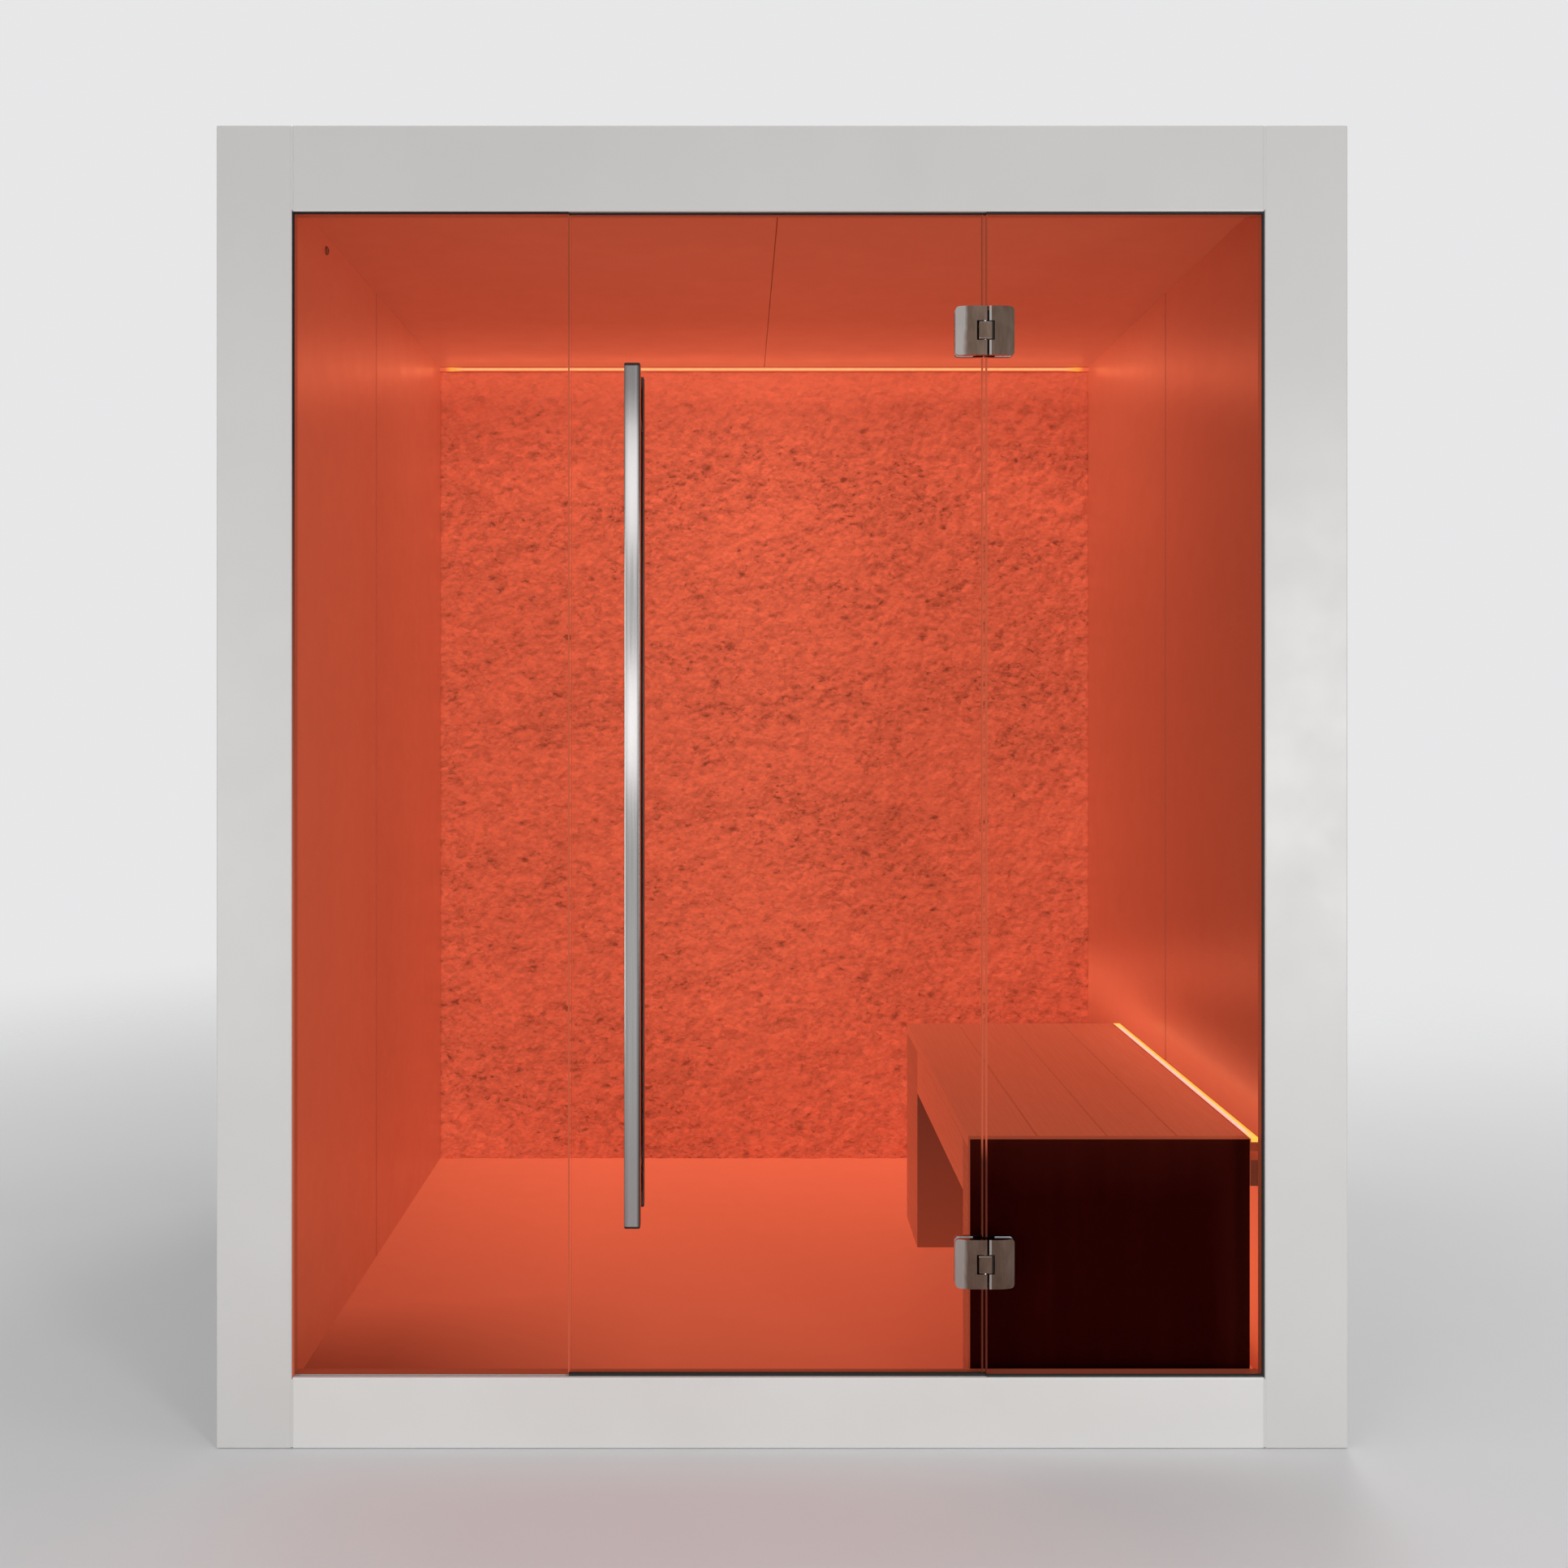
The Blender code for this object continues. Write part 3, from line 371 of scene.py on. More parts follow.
def crusted_salt():
    """Salt that glows with the room's light: drifts of small flakes, each in its own tone, with painted shade
    in dark hollows and the painted light and shade of its relief.

    Near the light line it has less contrast and, at its very head, more light.
    """
    look = Surface("crusted_salt", specular_ior_level=0.12)
    # The relief attribute is painted light and shade from the crust's slopes, low parts and pits
    tone = look.node("Attribute", {"attribute_name": "relief"}).outputs["Fac"]
    slanted = look.place((0.75, 1.0, 1.3), turn=(0.0, 0.6, 0.0))
    stir = look.node("VectorMath", {"operation": "MULTIPLY_ADD"})
    look.feed(stir.inputs[0], look.node("TexNoise", Scale=55.0, Detail=2.0, Vector=slanted).outputs["Color"])
    look.feed(stir.inputs[1], (0.012, 0.012, 0.012))
    look.feed(stir.inputs[2], slanted)
    where = stir.outputs[0]
    drifts = look.noise(scale=6.5, roughness=0.5, where=look.place((0.6, 1.0, 1.6)), distortion=0.6)
    # Painted shade in small hollows, less of it in some drifts
    hollows = look.range(look.noise(scale=78.0, roughness=0.6, where=where), 0.0, 0.42, start=0.56, end=0.70)
    hollows = look.math(hollows, "MULTIPLY", look.range(drifts, 1.0, 0.3, start=0.38, end=0.60))
    grains = look.noise(scale=360.0, detail=4.0, roughness=0.65)
    parts = (
        (look.cells(62.0, where), 0.18),
        (look.cells(140.0, where), 0.17),
        (grains, 0.18),
        (look.spread(drifts, 0.0, 1.0), 0.08),
    )
    for part, reach in parts:
        tone = look.math(tone, "ADD", look.range(part, -reach, reach))
    tone = look.math(tone, "SUBTRACT", hollows)
    height = look.axis("Z")
    contrast = look.range(height, low=1.0, high=0.4, start=1.80, end=2.02)
    tone = look.math(look.math(look.math(tone, "SUBTRACT", 0.5), "MULTIPLY", contrast), "ADD", 0.5)
    steps = ((0.0, 0.42), (0.25, 0.76), (0.5, 1.0), (1.0, 1.42))
    look.set("base_color", look.colours(tone, *[(at, shade(SALT, share)) for at, share in steps]))
    look.set("emission_color", look.colours(tone, *[(at, shade(SALT, 1.45 * share)) for at, share in steps]))
    wall = look.range(height, low=0.36, high=0.26, start=1.70, end=1.92)
    head = look.range(height, low=0.0, high=0.22, start=1.935, end=2.015)
    look.set("emission_strength", look.math(wall, "ADD", head))
    look.set("roughness", look.range(grains, 0.5, 0.85, start=0.35, end=0.65))
    look.bump(grains, strength=0.3, distance=0.0016)
    return look.material


def lit_nozzle():
    """Nozzle: its flange has the wall's colour and its bore is darker."""
    look = Surface("lit_nozzle", specular_ior_level=0.2, emission_color=GLOWING)
    speck = look.noise(scale=200.0)
    front = look.range(look.facing("X"), low=0.0, high=1.0, start=0.5, end=0.9)
    look.set("base_color", look.blend(front, shade(LIT, 0.25), shade(LIT, 0.8)))
    look.set("emission_strength", look.range(front, 0.07, 0.12))
    look.set("roughness", look.spread(speck, 0.45, 0.65))
    return look.material


def sawn_timber():
    """Softwood of the hidden frames."""
    look = Surface("sawn_timber", specular_ior_level=0.3)
    along = look.place((1.0, 1.0, 0.08))
    grain = look.noise(scale=18.0, detail=6.0, roughness=0.6, where=along, distortion=0.6)
    look.set("base_color", look.colours(grain, (0.25, (0.42, 0.27, 0.14)), (0.75, (0.62, 0.45, 0.27))))
    look.set("roughness", look.spread(grain, 0.6, 0.8))
    look.bump(grain, strength=0.2, distance=0.001)
    return look.material


# Materials of the glass, its fittings and the lights


def clear_glass():
    """Clear toughened glass with greenish edges, which lets the lamps through."""
    look = Surface("clear_glass", roughness=0.0, ior=1.02, transmission_weight=1.0)
    face = look.range(look.math(look.facing("Y"), "ABSOLUTE"), low=0.0, high=1.0, start=0.3, end=0.7)
    look.set("base_color", look.blend(face, (0.62, 0.80, 0.74), (0.97, 0.985, 0.98)))
    path = look.node("LightPath")
    lamps = look.math(path.outputs["Is Shadow Ray"], "MAXIMUM", path.outputs["Is Diffuse Ray"])
    through = look.node("BsdfTransparent", Color=(0.97, 0.98, 0.98))
    mixed = look.node("MixShader", Fac=lamps)
    look.feed(mixed.inputs[1], look.shader.outputs[0])
    look.feed(mixed.inputs[2], through.outputs[0])
    look.feed(look.tree.nodes["Material Output"].inputs["Surface"], mixed.outputs[0])
    return look.material


def brushed_steel(name):
    """Stainless steel with fine lines along its length, and a dark tone of it for shaded places."""
    look = Surface(name, metallic=1.0, anisotropic=0.3)
    lines = look.noise(scale=420.0, detail=4.0, roughness=0.7, where=look.place((1.0, 1.0, 0.008)))
    broad = look.noise(scale=5.0, roughness=0.5, where=look.place((1.0, 1.0, 0.5)))
    mixed = look.math(look.spread(lines, 0.0, 0.6), "ADD", look.spread(broad, 0.0, 0.4))
    look.metal = look.colours(mixed, (0.0, (0.365, 0.35, 0.345)), (1.0, (0.47, 0.455, 0.45)))
    look.dark = look.colours(mixed, (0.0, (0.030, 0.022, 0.019)), (1.0, (0.085, 0.068, 0.060)))
    look.set("base_color", look.metal)
    look.set("roughness", look.spread(lines, 0.13, 0.21))
    look.bump(lines, strength=0.05, distance=0.0003)
    return look


def bar_steel(node, low, high):
    """Steel of a handle bar: bright on faces whose Y direction lies in a range; painted shade and dark
    painted reflections make it darker at sides, at ends and towards the edges of those faces.
    """
    look = brushed_steel(f"{node}_steel")
    foot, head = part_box(node)
    width = head.x - foot.x
    across, height = look.axis("X"), look.axis("Z")
    # Outside this mask the bar takes painted shade and dark painted reflections
    bright = look.product(
        look.within(look.facing("Y"), low, high),
        look.within(height, foot.z + 0.004, head.z - 0.005),
        look.range(across, 1.0, 0.0, start=head.x - 0.24 * width, end=head.x - 0.04 * width),
        look.range(across, 0.6, 1.0, start=foot.x + 0.04 * width, end=foot.x + 0.30 * width),
        look.range(height, 1.0, 0.62, start=head.z - 0.10, end=head.z - 0.04),
    )
    front = look.blend(bright, look.dark, look.metal)
    side = look.range(look.math(look.facing("X"), "ABSOLUTE"), low=0.0, high=0.3, start=0.93, end=0.97)
    look.set("base_color", look.blend(side, front, look.metal))
    return look.material


def satin_chrome():
    """Hinge metal: smooth and warm with fine lines and painted reflections in hazy patches, paler with
    painted highlights at some edges, with painted shade on its right plate and in the slots at the pin.
    """
    look = Surface("satin_chrome", metallic=1.0)
    low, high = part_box("hinge_top_door_plate")[0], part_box("hinge_top_fixed_plate")[1]
    pin = (low.x + high.x) / 2
    seam_start, seam_end, slot_reach, slot_from = 0.0060, 0.0095, 0.0155, 0.0029
    pivot_half = 0.015
    across = look.axis("X")
    lines = look.noise(scale=520.0, roughness=0.6, where=look.place((1.0, 1.0, 0.05)))
    # Hazy patches: real in the roughness, painted reflections in the colour
    haze_and_reflection = look.noise(scale=38.0, detail=4.0, where=look.place((1.0, 1.0, 0.45)), distortion=0.5)
    mixed = look.math(look.spread(lines, 0.0, 0.3), "ADD", look.spread(haze_and_reflection, 0.0, 0.7))
    warm = look.colours(mixed, (0.0, (0.130, 0.080, 0.056)), (1.0, (0.240, 0.172, 0.136)))
    # Painted shade on the right plate
    right = look.math(look.math(across, "GREATER_THAN", pin + seam_end), "MULTIPLY", 0.25)
    warm = look.blend(right, warm, (0.050, 0.030, 0.022))
    slanted = look.math(across, "ADD", look.math(haze_and_reflection, "MULTIPLY", 0.012))
    # Painted highlights on the left of the plates, on faces looking up or down, and on the plate edge beside
    # the pin
    left = look.range(slanted, low=0.8, high=0.0, start=low.x + 0.018, end=low.x + 0.024)
    ends = look.range(look.math(look.facing("Z"), "ABSOLUTE"), low=0.0, high=0.9, start=0.3, end=0.7)
    seam_highlight = look.math(look.within(across, pin + seam_start, pin + seam_end), "MULTIPLY", 0.85)
    for word in ("top", "bottom"):
        foot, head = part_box(f"hinge_{word}_fixed_plate")
        middle = (foot.z + head.z) / 2
        pivot = look.within(look.axis("Z"), middle - pivot_half, middle + pivot_half)
        seam_highlight = look.math(seam_highlight, "MULTIPLY", look.math(1.0, "SUBTRACT", pivot))
    pale = look.math(look.math(left, "MAXIMUM", ends), "MAXIMUM", seam_highlight)
    # Painted shade in the slots at the pin
    slot = look.product(
        look.within(across, pin - slot_reach, pin + slot_reach),
        look.within(look.axis("Y"), low.y + slot_from, GLASS_FRONT),
    )
    plate = look.blend(pale, warm, (0.51, 0.475, 0.45))
    look.set("base_color", look.blend(slot, plate, (0.030, 0.024, 0.021)))
    look.set("roughness", look.spread(haze_and_reflection, 0.12, 0.20))
    look.bump(lines, strength=0.04, distance=0.0002)
    return look.material


def plain_metal(name, colour, glow=0.0):
    """Anodised aluminium, in the room with some of the room's light on it."""
    look = Surface(name, metallic=1.0, emission_color=GLOWING, emission_strength=glow)
    lines = look.noise(scale=300.0, roughness=0.6, where=look.place((0.02, 0.02, 1.0)))
    look.set("base_color", look.colours(lines, (0.3, shade(colour, 0.9)), (0.7, shade(colour, 1.08))))
    look.set("roughness", look.spread(lines, 0.30, 0.42))
    return look.material


def light_lens(name, node, across, along, stops, ends):
    """Lit opal lens: the colour of its light changes across its face and near its two ends."""
    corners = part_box(node)
    look = Surface(name, roughness=0.35)
    place = look.range(look.axis(across), 0.0, 1.0, *[getattr(corner, across.lower()) for corner in corners])
    start, finish = (getattr(corner, along.lower()) for corner in corners)
    middle = look.math(look.axis(along), "SUBTRACT", (start + finish) / 2)
    to_end = look.math((finish - start) / 2, "SUBTRACT", look.math(middle, "ABSOLUTE"))
    colour = look.colours(place, *stops)
    for end_colour, far, near in ends:
        colour = look.blend(look.range(to_end, 1.0, 0.0, start=near, end=far), colour, end_colour)
    dots = look.noise(scale=90.0, detail=2.0)
    look.set("base_color", shade(stops[1][1], 0.25))
    look.set("emission_color", colour)
    look.set("emission_strength", look.spread(dots, 0.95, 1.10))
    return look.material


def matte_plastic(name, colour, grain):
    """Fine-textured plastic or rubber."""
    look = Surface(name, specular_ior_level=0.35)
    speck = look.noise(scale=grain)
    look.set("base_color", look.colours(speck, (0.3, shade(colour, 0.8)), (0.7, shade(colour, 1.25))))
    look.set("roughness", look.spread(speck, 0.5, 0.75))
    look.bump(speck, strength=0.15, distance=0.0006)
    return look.material


def tinted_seal(name, glow, at_bench=1.0):
    """Translucent seal that carries the room's light, less at its head and in front of the bench."""
    look = Surface(name, specular_ior_level=0.1, emission_color=GLOWING)
    cloud = look.noise(scale=140.0)
    height = look.axis("Z")
    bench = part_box("bench_end_panel")[1].z
    low = look.range(height, at_bench, 1.0, start=bench - 0.02, end=bench + 0.02)
    share = look.math(low, "MULTIPLY", look.range(height, 1.0, 0.49, start=1.70, end=1.80))
    look.set("emission_strength", look.math(share, "MULTIPLY", glow))
    look.set("base_color", look.colours(cloud, (0.3, (0.050, 0.010, 0.006)), (0.7, (0.075, 0.015, 0.008))))
    look.set("roughness", look.spread(cloud, 0.45, 0.6))
    return look.material


def bead_rubber():
    """Glazing rubber: black above, lit by the room lower down."""
    look = Surface("bead_rubber", specular_ior_level=0.2, emission_color=GLOWING)
    speck = look.noise(scale=180.0)
    black = look.colours(speck, (0.3, (0.009, 0.008, 0.008)), (0.7, (0.016, 0.015, 0.015)))
    lower = look.range(look.axis("Z"), low=1.0, high=0.0, start=0.85, end=1.6)
    look.set("base_color", look.blend(lower, black, shade(LIT, 0.8)))
    look.set("emission_strength", look.math(lower, "MULTIPLY", 0.16))
    look.set("roughness", look.spread(speck, 0.5, 0.75))
    return look.material


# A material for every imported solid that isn't replaced


def named(*patterns):
    """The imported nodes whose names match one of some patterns."""
    return [name for name in NODES if any(fnmatch(name, pattern) for pattern in patterns)]


def paint(material, *names):
    for name in names:
        slots = NODES[name].data.materials
        slots.clear()
        slots.append(material)


def paint_shell(rubber):
    """Frame, cladding and what lies behind them."""
    paint(white_lacquer("white_cladding"), *named("*_cladding", "roof_panel"))
    paint(white_lacquer("white_frame", room_light_behind_glass=True), *named("*_post", "header"))
    # The sill's white is painted lighter than the other boards: painted light for the extra light that falls
    # on it
    paint(white_lacquer("white_sill", share=1.14, room_light_behind_glass=True), "sill")
    paint(sawn_timber(), *named("*_studs", "ceiling_joists", "back_lining"))
    paint(matte_plastic("black_plastic", (0.03, 0.028, 0.027), grain=260.0), "salt_generator")
    paint(plain_metal("anodised_aluminium", (0.64, 0.63, 0.62)), "led_driver")
    paint(rubber, *named("floor_bearer_*"))


def paint_room():
    """Walls, ceiling, floor, nozzle and bench."""
    paint(lit_wall("lit_left", glow=(0.166, 0.205)), *named("left_wall_lining_*"))
    right = lit_wall("lit_right", glow=(0.0, 0.240), head=0.05, beside_bench=0.42)
    paint(right, *named("right_wall_lining_*"))
    paint(lit_ceiling(), *named("ceiling_lining_*"))
    paint(lit_deck(), "floor_deck")
    paint(lit_nozzle(), "salt_nozzle")
    planks = sorted(named("bench_plank_*"))
    joints = [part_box(name)[1].x for name in planks[:-1]]
    paint(bench_wood("bench_planks", joints), *planks)
    paint(bench_wood("bench_boards"), *named("bench_apron_*"))
    paint(bench_wood("bench_legs", aisle=0.30), *named("bench_*_leg"))
    paint(bench_wood("bench_rail", front_dim=(0.62, 0.62)), "bench_wall_rail")
    paint(dark_panel(), "bench_end_panel")


def paint_front():
    """Glass, hinges and handle."""
    paint(clear_glass(), *named("*_glass"))
    paint(satin_chrome(), *named("hinge_*_plate"))
    paint(brushed_steel("steel").material, *named("hinge_*_pin", "handle_standoff_*"))
    paint(bar_steel("handle_outer_bar", -1.1, -0.6), "handle_outer_bar")
    paint(bar_steel("handle_inner_bar", 0.6, 1.1), "handle_inner_bar")


def paint_lights():
    """Profiles and lenses of the two light lines."""
    # The profiles' orange is the room's light painted on the aluminium
    profile = plain_metal("lit_aluminium", (0.62, 0.20, 0.10), glow=0.10)
    paint(profile, "wall_led_profile", "bench_led_profile")
    edge, orange, core = (0.60, 0.10, 0.04), (0.95, 0.28, 0.10), (1.0, 0.60, 0.25)
    stops = ((0.0, edge), (0.25, orange), (0.5, core), (0.75, orange), (1.0, edge))
    ends = (((1.0, 0.36, 0.05), 0.060, 0.030), ((0.66, 0.105, 0.045), 0.028, 0.012))
    paint(light_lens("wall_light", "wall_led_lens", "Z", "X", stops, ends), "wall_led_lens")
    red, pink, yellow, amber = (0.92, 0.30, 0.20), (1.0, 0.53, 0.46), (1.0, 0.56, 0.05), (1.0, 0.42, 0.03)
    stops = ((0.0, red), (0.15, pink), (0.50, pink), (0.64, yellow), (1.0, amber))
    ends = ((yellow, 0.06, 0.0),)
    paint(light_lens("bench_light", "bench_led_lens", "X", "Y", stops, ends), "bench_led_lens")


# New pieces


def new_piece(name, mesh, material, body, slot, *replaced):
    piece = bpy.data.objects.new(name, mesh)
    bpy.context.scene.collection.objects.link(piece)
    mesh.materials.append(material)
    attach(piece, body)
    if replaced:
        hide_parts(*replaced)


def closed_piece(name, shape, material, body, slot):
    """Makes a new piece of closed forms in a bmesh, and frees that."""
    bmesh.ops.recalc_face_normals(shape, faces=shape.faces[:])
    mesh = bpy.data.meshes.new(name)
    shape.to_mesh(mesh)
    shape.free()
    new_piece(name, mesh, material, body, slot)


def loft(shape, rings):
    """Joins rings of points with faces, and closes both ends."""
    for ring, following in zip(rings, rings[1:]):
        for index in range(len(ring)):
            shape.faces.new((ring[index - 1], ring[index], following[index], following[index - 1]))
    shape.faces.new(rings[0])
    shape.faces.new(rings[-1])


def clouds(rng, across, up, size):
    """Smooth noise from -1 to 1, with features of one size."""
    u, v = across / size, up / size
    i, j = u.astype(int), v.astype(int)
    f, g = u - i, v - j
    f, g = f * f * (3 - 2 * f), g * g * (3 - 2 * g)
    knots = rng.uniform(-1, 1, (j.max() + 2, i.max() + 2))
    lower = knots[j, i] * (1 - f) + knots[j, i + 1] * f
    upper = knots[j + 1, i] * (1 - f) + knots[j + 1, i + 1] * f
    return lower * (1 - g) + upper * g


def chips(rng, across, up, size):
    """Tilted flakes of about one size, each with its own level, from -1 to 1 or so."""
    u, v = across / size, up / size
    i, j = u.astype(int) + 1, v.astype(int) + 1
    rows, columns = j.max() + 2, i.max() + 2
    seed = rng.uniform(0, 1, (2, rows, columns))
    tilt = rng.normal(0, 0.8, (2, rows, columns))
    level = rng.uniform(-0.6, 0.6, (rows, columns))
    nearest = np.full(u.shape, np.inf)
    height = np.zeros(u.shape)
    for down in (-1, 0, 1):
        for aside in (-1, 0, 1):
            row, column = j + down, i + aside
            du = u + 1 - column - seed[0, row, column]
            dv = v + 1 - row - seed[1, row, column]
            away = du * du + dv * dv
            flake = level[row, column] + tilt[0, row, column] * du + tilt[1, row, column] * dv
            height = np.where(away < nearest, flake, height)
            nearest = np.minimum(away, nearest)
    return height


def pits(rng, across, up):
    """Small dark holes, wider than high, as a depth from 0 to 1."""
    hole = np.zeros(across.shape)
    step = across[0, 1] - across[0, 0]
    along = rng.uniform(0, across.max(), SALT_PITS)
    heights = rng.uniform(0, up.max(), SALT_PITS)
    sizes = rng.uniform(*PIT_SIZES, SALT_PITS)
    for x, z, size in zip(along, heights, sizes):
        reach = int(3 * size / step) + 2
        row, column = int(z / step), int(x / step)
        spot = np.s_[max(row - reach, 0):row + reach, max(column - reach, 0):column + reach]
        away = ((across[spot] - x) / size) ** 2 + ((up[spot] - z) / (PIT_FLATNESS * size)) ** 2
        hole[spot] = np.maximum(hole[spot], np.exp(-away))
    return hole


def salt_heights(across, up):
    """Height of the crust over its grid, 0 at its highest, and its painted light and shade: lighter on slopes
    facing up and left, darker in low parts and holes.
    """
    rng = np.random.default_rng(SALT_SEED)
    offset = 0.03
    warp_x = across + offset + SALT_WARP * clouds(rng, across, up, SALT_WARP_SIZE)
    warp_z = up + offset + SALT_WARP * clouds(rng, across, up, SALT_WARP_SIZE)
    hole = pits(rng, across, up)
    height = np.zeros(across.shape)
    for rise, size in SALT_CLOUDS:
        height = height + rise * clouds(rng, warp_x, warp_z, size)
    for rise, size in SALT_CHIPS:
        height = height + rise * chips(rng, warp_x, warp_z, size)
    height = height - PIT_DEPTH * hole
    height -= height.max()
    height[height < -SALT_DEEPEST] = -SALT_DEEPEST
    slope_z, slope_x = np.gradient(height, SALT_STEP)
    # Painted light from above and the left on the slopes, painted shade in low parts and pits
    tone = MIDDLE_TONE - LIGHT_BY_SLOPE_UP * slope_z + LIGHT_BY_SLOPE_ASIDE * slope_x
    tone = tone + LIGHT_BY_HEIGHT * (height - height.mean()) - SHADE_BY_PIT * hole
    return height, np.clip(tone, 0, 1)


def salt_relief():
    """The salt wall: a fine grid of crusted flakes and holes, closed at its back."""
    low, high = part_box("salt_wall")
    width, tall = high.x - low.x, high.z - low.z
    columns, rows = round(width / SALT_STEP), round(tall / SALT_STEP)
    across, up = np.meshgrid(np.linspace(0, width, columns), np.linspace(0, tall, rows))
    height, tone = salt_heights(across, up)
    points = np.stack([low.x + across, low.y - height, low.z + up], -1).reshape(-1, 3)
    corner = (np.arange(rows - 1)[:, None] * columns + np.arange(columns - 1)).ravel()
    faces = np.stack([corner, corner + 1, corner + columns + 1, corner + columns], -1)
    mesh = bpy.data.meshes.new("salt_relief")
    mesh.from_pydata(points.tolist(), [], faces.tolist())
    mesh.attributes.new("relief", "FLOAT", "POINT").data.foreach_set("value", tone.ravel())
    shape = bmesh.new()
    shape.from_mesh(mesh)
    rim = [edge for edge in shape.edges if edge.is_boundary]
    for vert in bmesh.ops.extrude_edge_only(shape, edges=rim)["geom"]:
        if isinstance(vert, bmesh.types.BMVert):
            vert.co.y = high.y
    bmesh.ops.edgeloop_fill(shape, edges=[edge for edge in shape.edges if edge.is_boundary])
    bmesh.ops.recalc_face_normals(shape, faces=shape.faces[:])
    shape.to_mesh(mesh)
    shape.free()
    mesh.shade_smooth()
    new_piece("salt_relief", mesh, crusted_salt(), "cabin", "lit_salt", "salt_wall")


def quarter_round(width, depth, steps=6):
    """Section of a bead that lies in a corner, as (inward, outward) points."""
    turns = [math.pi / 2 * step / steps for step in range(steps + 1)]
    return [(0.0, 0.0), *[(width * math.cos(turn), depth * math.sin(turn)) for turn in turns]]


def edge_channel(lip, wall):
    """Section of a seal clipped over an edge of the glass, as (inward, outward) points."""
    back = GLASS_FRONT - GLASS_BACK - 2 * CLEARANCE
    return [
        (-lip, wall),
        (wall / 2, wall),
        (wall, 0.0),
        (wall, back),
        (wall / 2, back - wall),
        (-lip, back - wall),
        (-lip, back),
        (CLEARANCE, back),
        (CLEARANCE, CLEARANCE),
        (-lip, CLEARANCE),
    ]


def strips(name, section, routes, material, body, slot):
    """One piece of strips: a section carried along routes of corners, each (x, z, inward x, inward z)."""
    shape = bmesh.new()
    face = GLASS_FRONT - CLEARANCE
    for route in routes:
        rings = []
        for x, z, inward_x, inward_z in route:
            points = [(x + inward_x * inward, face - out, z + inward_z * inward) for inward, out in section]
            rings.append([shape.verts.new(point) for point in points])
        loft(shape, rings)
    closed_piece(name, shape, material, body, slot)


def glazing_beads(rubber):
    """Beads between the frame and the fixed glass."""
    left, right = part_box("left_glass")[1].x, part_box("right_glass")[0].x
    corners = [
        (left, OPENING_TOP, 0, -1),
        (OPENING_LEFT, OPENING_TOP, 1, -1),
        (OPENING_LEFT, OPENING_LOW, 1, 0),
    ]
    section = quarter_round(LEFT_BEAD, BEAD_DEPTH)
    strips("glazing_bead_left", section, [corners], bead_rubber(), "cabin", "rubber")
    corners = [
        (right, OPENING_TOP, 0, -1),
        (OPENING_RIGHT, OPENING_TOP, -1, -1),
        (OPENING_RIGHT, OPENING_LOW, -1, 1),
        (right, OPENING_LOW, 0, 1),
    ]
    section = quarter_round(RIGHT_BEAD, BEAD_DEPTH)
    strips("glazing_bead_right", section, [corners], rubber, "cabin", "rubber")


def door_seals(rubber):
    """Seals in the frame over and under the door."""
    left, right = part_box("left_glass")[1].x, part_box("right_glass")[0].x
    deep = GLASS_FRONT - GLASS_BACK
    seals = (
        ("door_head_seal", OPENING_TOP, -1, HEAD_SEAL),
        ("door_foot_seal", OPENING_LOW, 1, FOOT_SEAL),
    )
    for name, z, inward, tall in seals:
        crest = [(0.7 * tall, 0.0), (tall, 0.25 * deep), (tall, 0.75 * deep), (0.7 * tall, deep)]
        route = [(x, z, 0, inward) for x in (left, right)]
        strips(name, [(0.0, 0.0), *crest, (0.0, deep)], [route], rubber, "cabin", "rubber")


def edge_seals():
    """Seals on the upright edges of the glass at both sides of the door, clear of the hinges."""
    left, right, door = (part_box(name) for name in ("left_glass", "right_glass", "door_glass"))
    tinted = tinted_seal("hinge_seal", glow=0.56, at_bench=0.11)
    heights = [door[0].z]
    for word in ("bottom", "top"):
        low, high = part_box(f"hinge_{word}_door_plate")
        heights += [low.z - SEAL_HINGE_GAP, high.z + SEAL_HINGE_GAP]
    heights.append(door[1].z)
    section = edge_channel(HINGE_SEAL_LIP, HINGE_SEAL_WALL)
    seals = (
        ("door_edge_seal", door[1].x, 1, "door"),
        ("fixed_edge_seal", right[0].x, -1, "cabin"),
    )
    for name, x, inward, body in seals:
        routes = [[(x, z, inward, 0) for z in span] for span in zip(heights[::2], heights[1::2])]
        strips(name, section, routes, tinted, body, "rubber")
    section = edge_channel(LATCH_SEAL_LIP, LATCH_SEAL_WALL)
    route = [(left[1].x, z, 1, 0) for z in (door[0].z, door[1].z)]
    strips("latch_edge_seal", section, [route], tinted_seal("latch_seal", glow=0.56), "cabin", "rubber")


def screw_head(shape, x, y, z):
    """Adds a round screw head with a hexagon socket, looking along +Y."""
    sixth = math.pi / 3
    turns = [2 * math.pi * side / SCREW_SIDES for side in range(SCREW_SIDES)]
    flats = [SCREW_SOCKET / math.cos((turn + sixth / 2) % sixth - sixth / 2) for turn in turns]
    wide = [SCREW_RADIUS] * SCREW_SIDES
    narrow = [SCREW_TOP_SHARE * SCREW_RADIUS] * SCREW_SIDES
    rims = (
        (wide, 0.0),
        (wide, SCREW_SHOULDER),
        (narrow, SCREW_HEIGHT),
        (flats, SCREW_HEIGHT),
        (flats, SOCKET_FLOOR),
    )
    rings = [
        [shape.verts.new((x + r * math.cos(t), y + rise, z + r * math.sin(t))) for r, t in zip(rim, turns)]
        for rim, rise in rims
    ]
    loft(shape, rings)


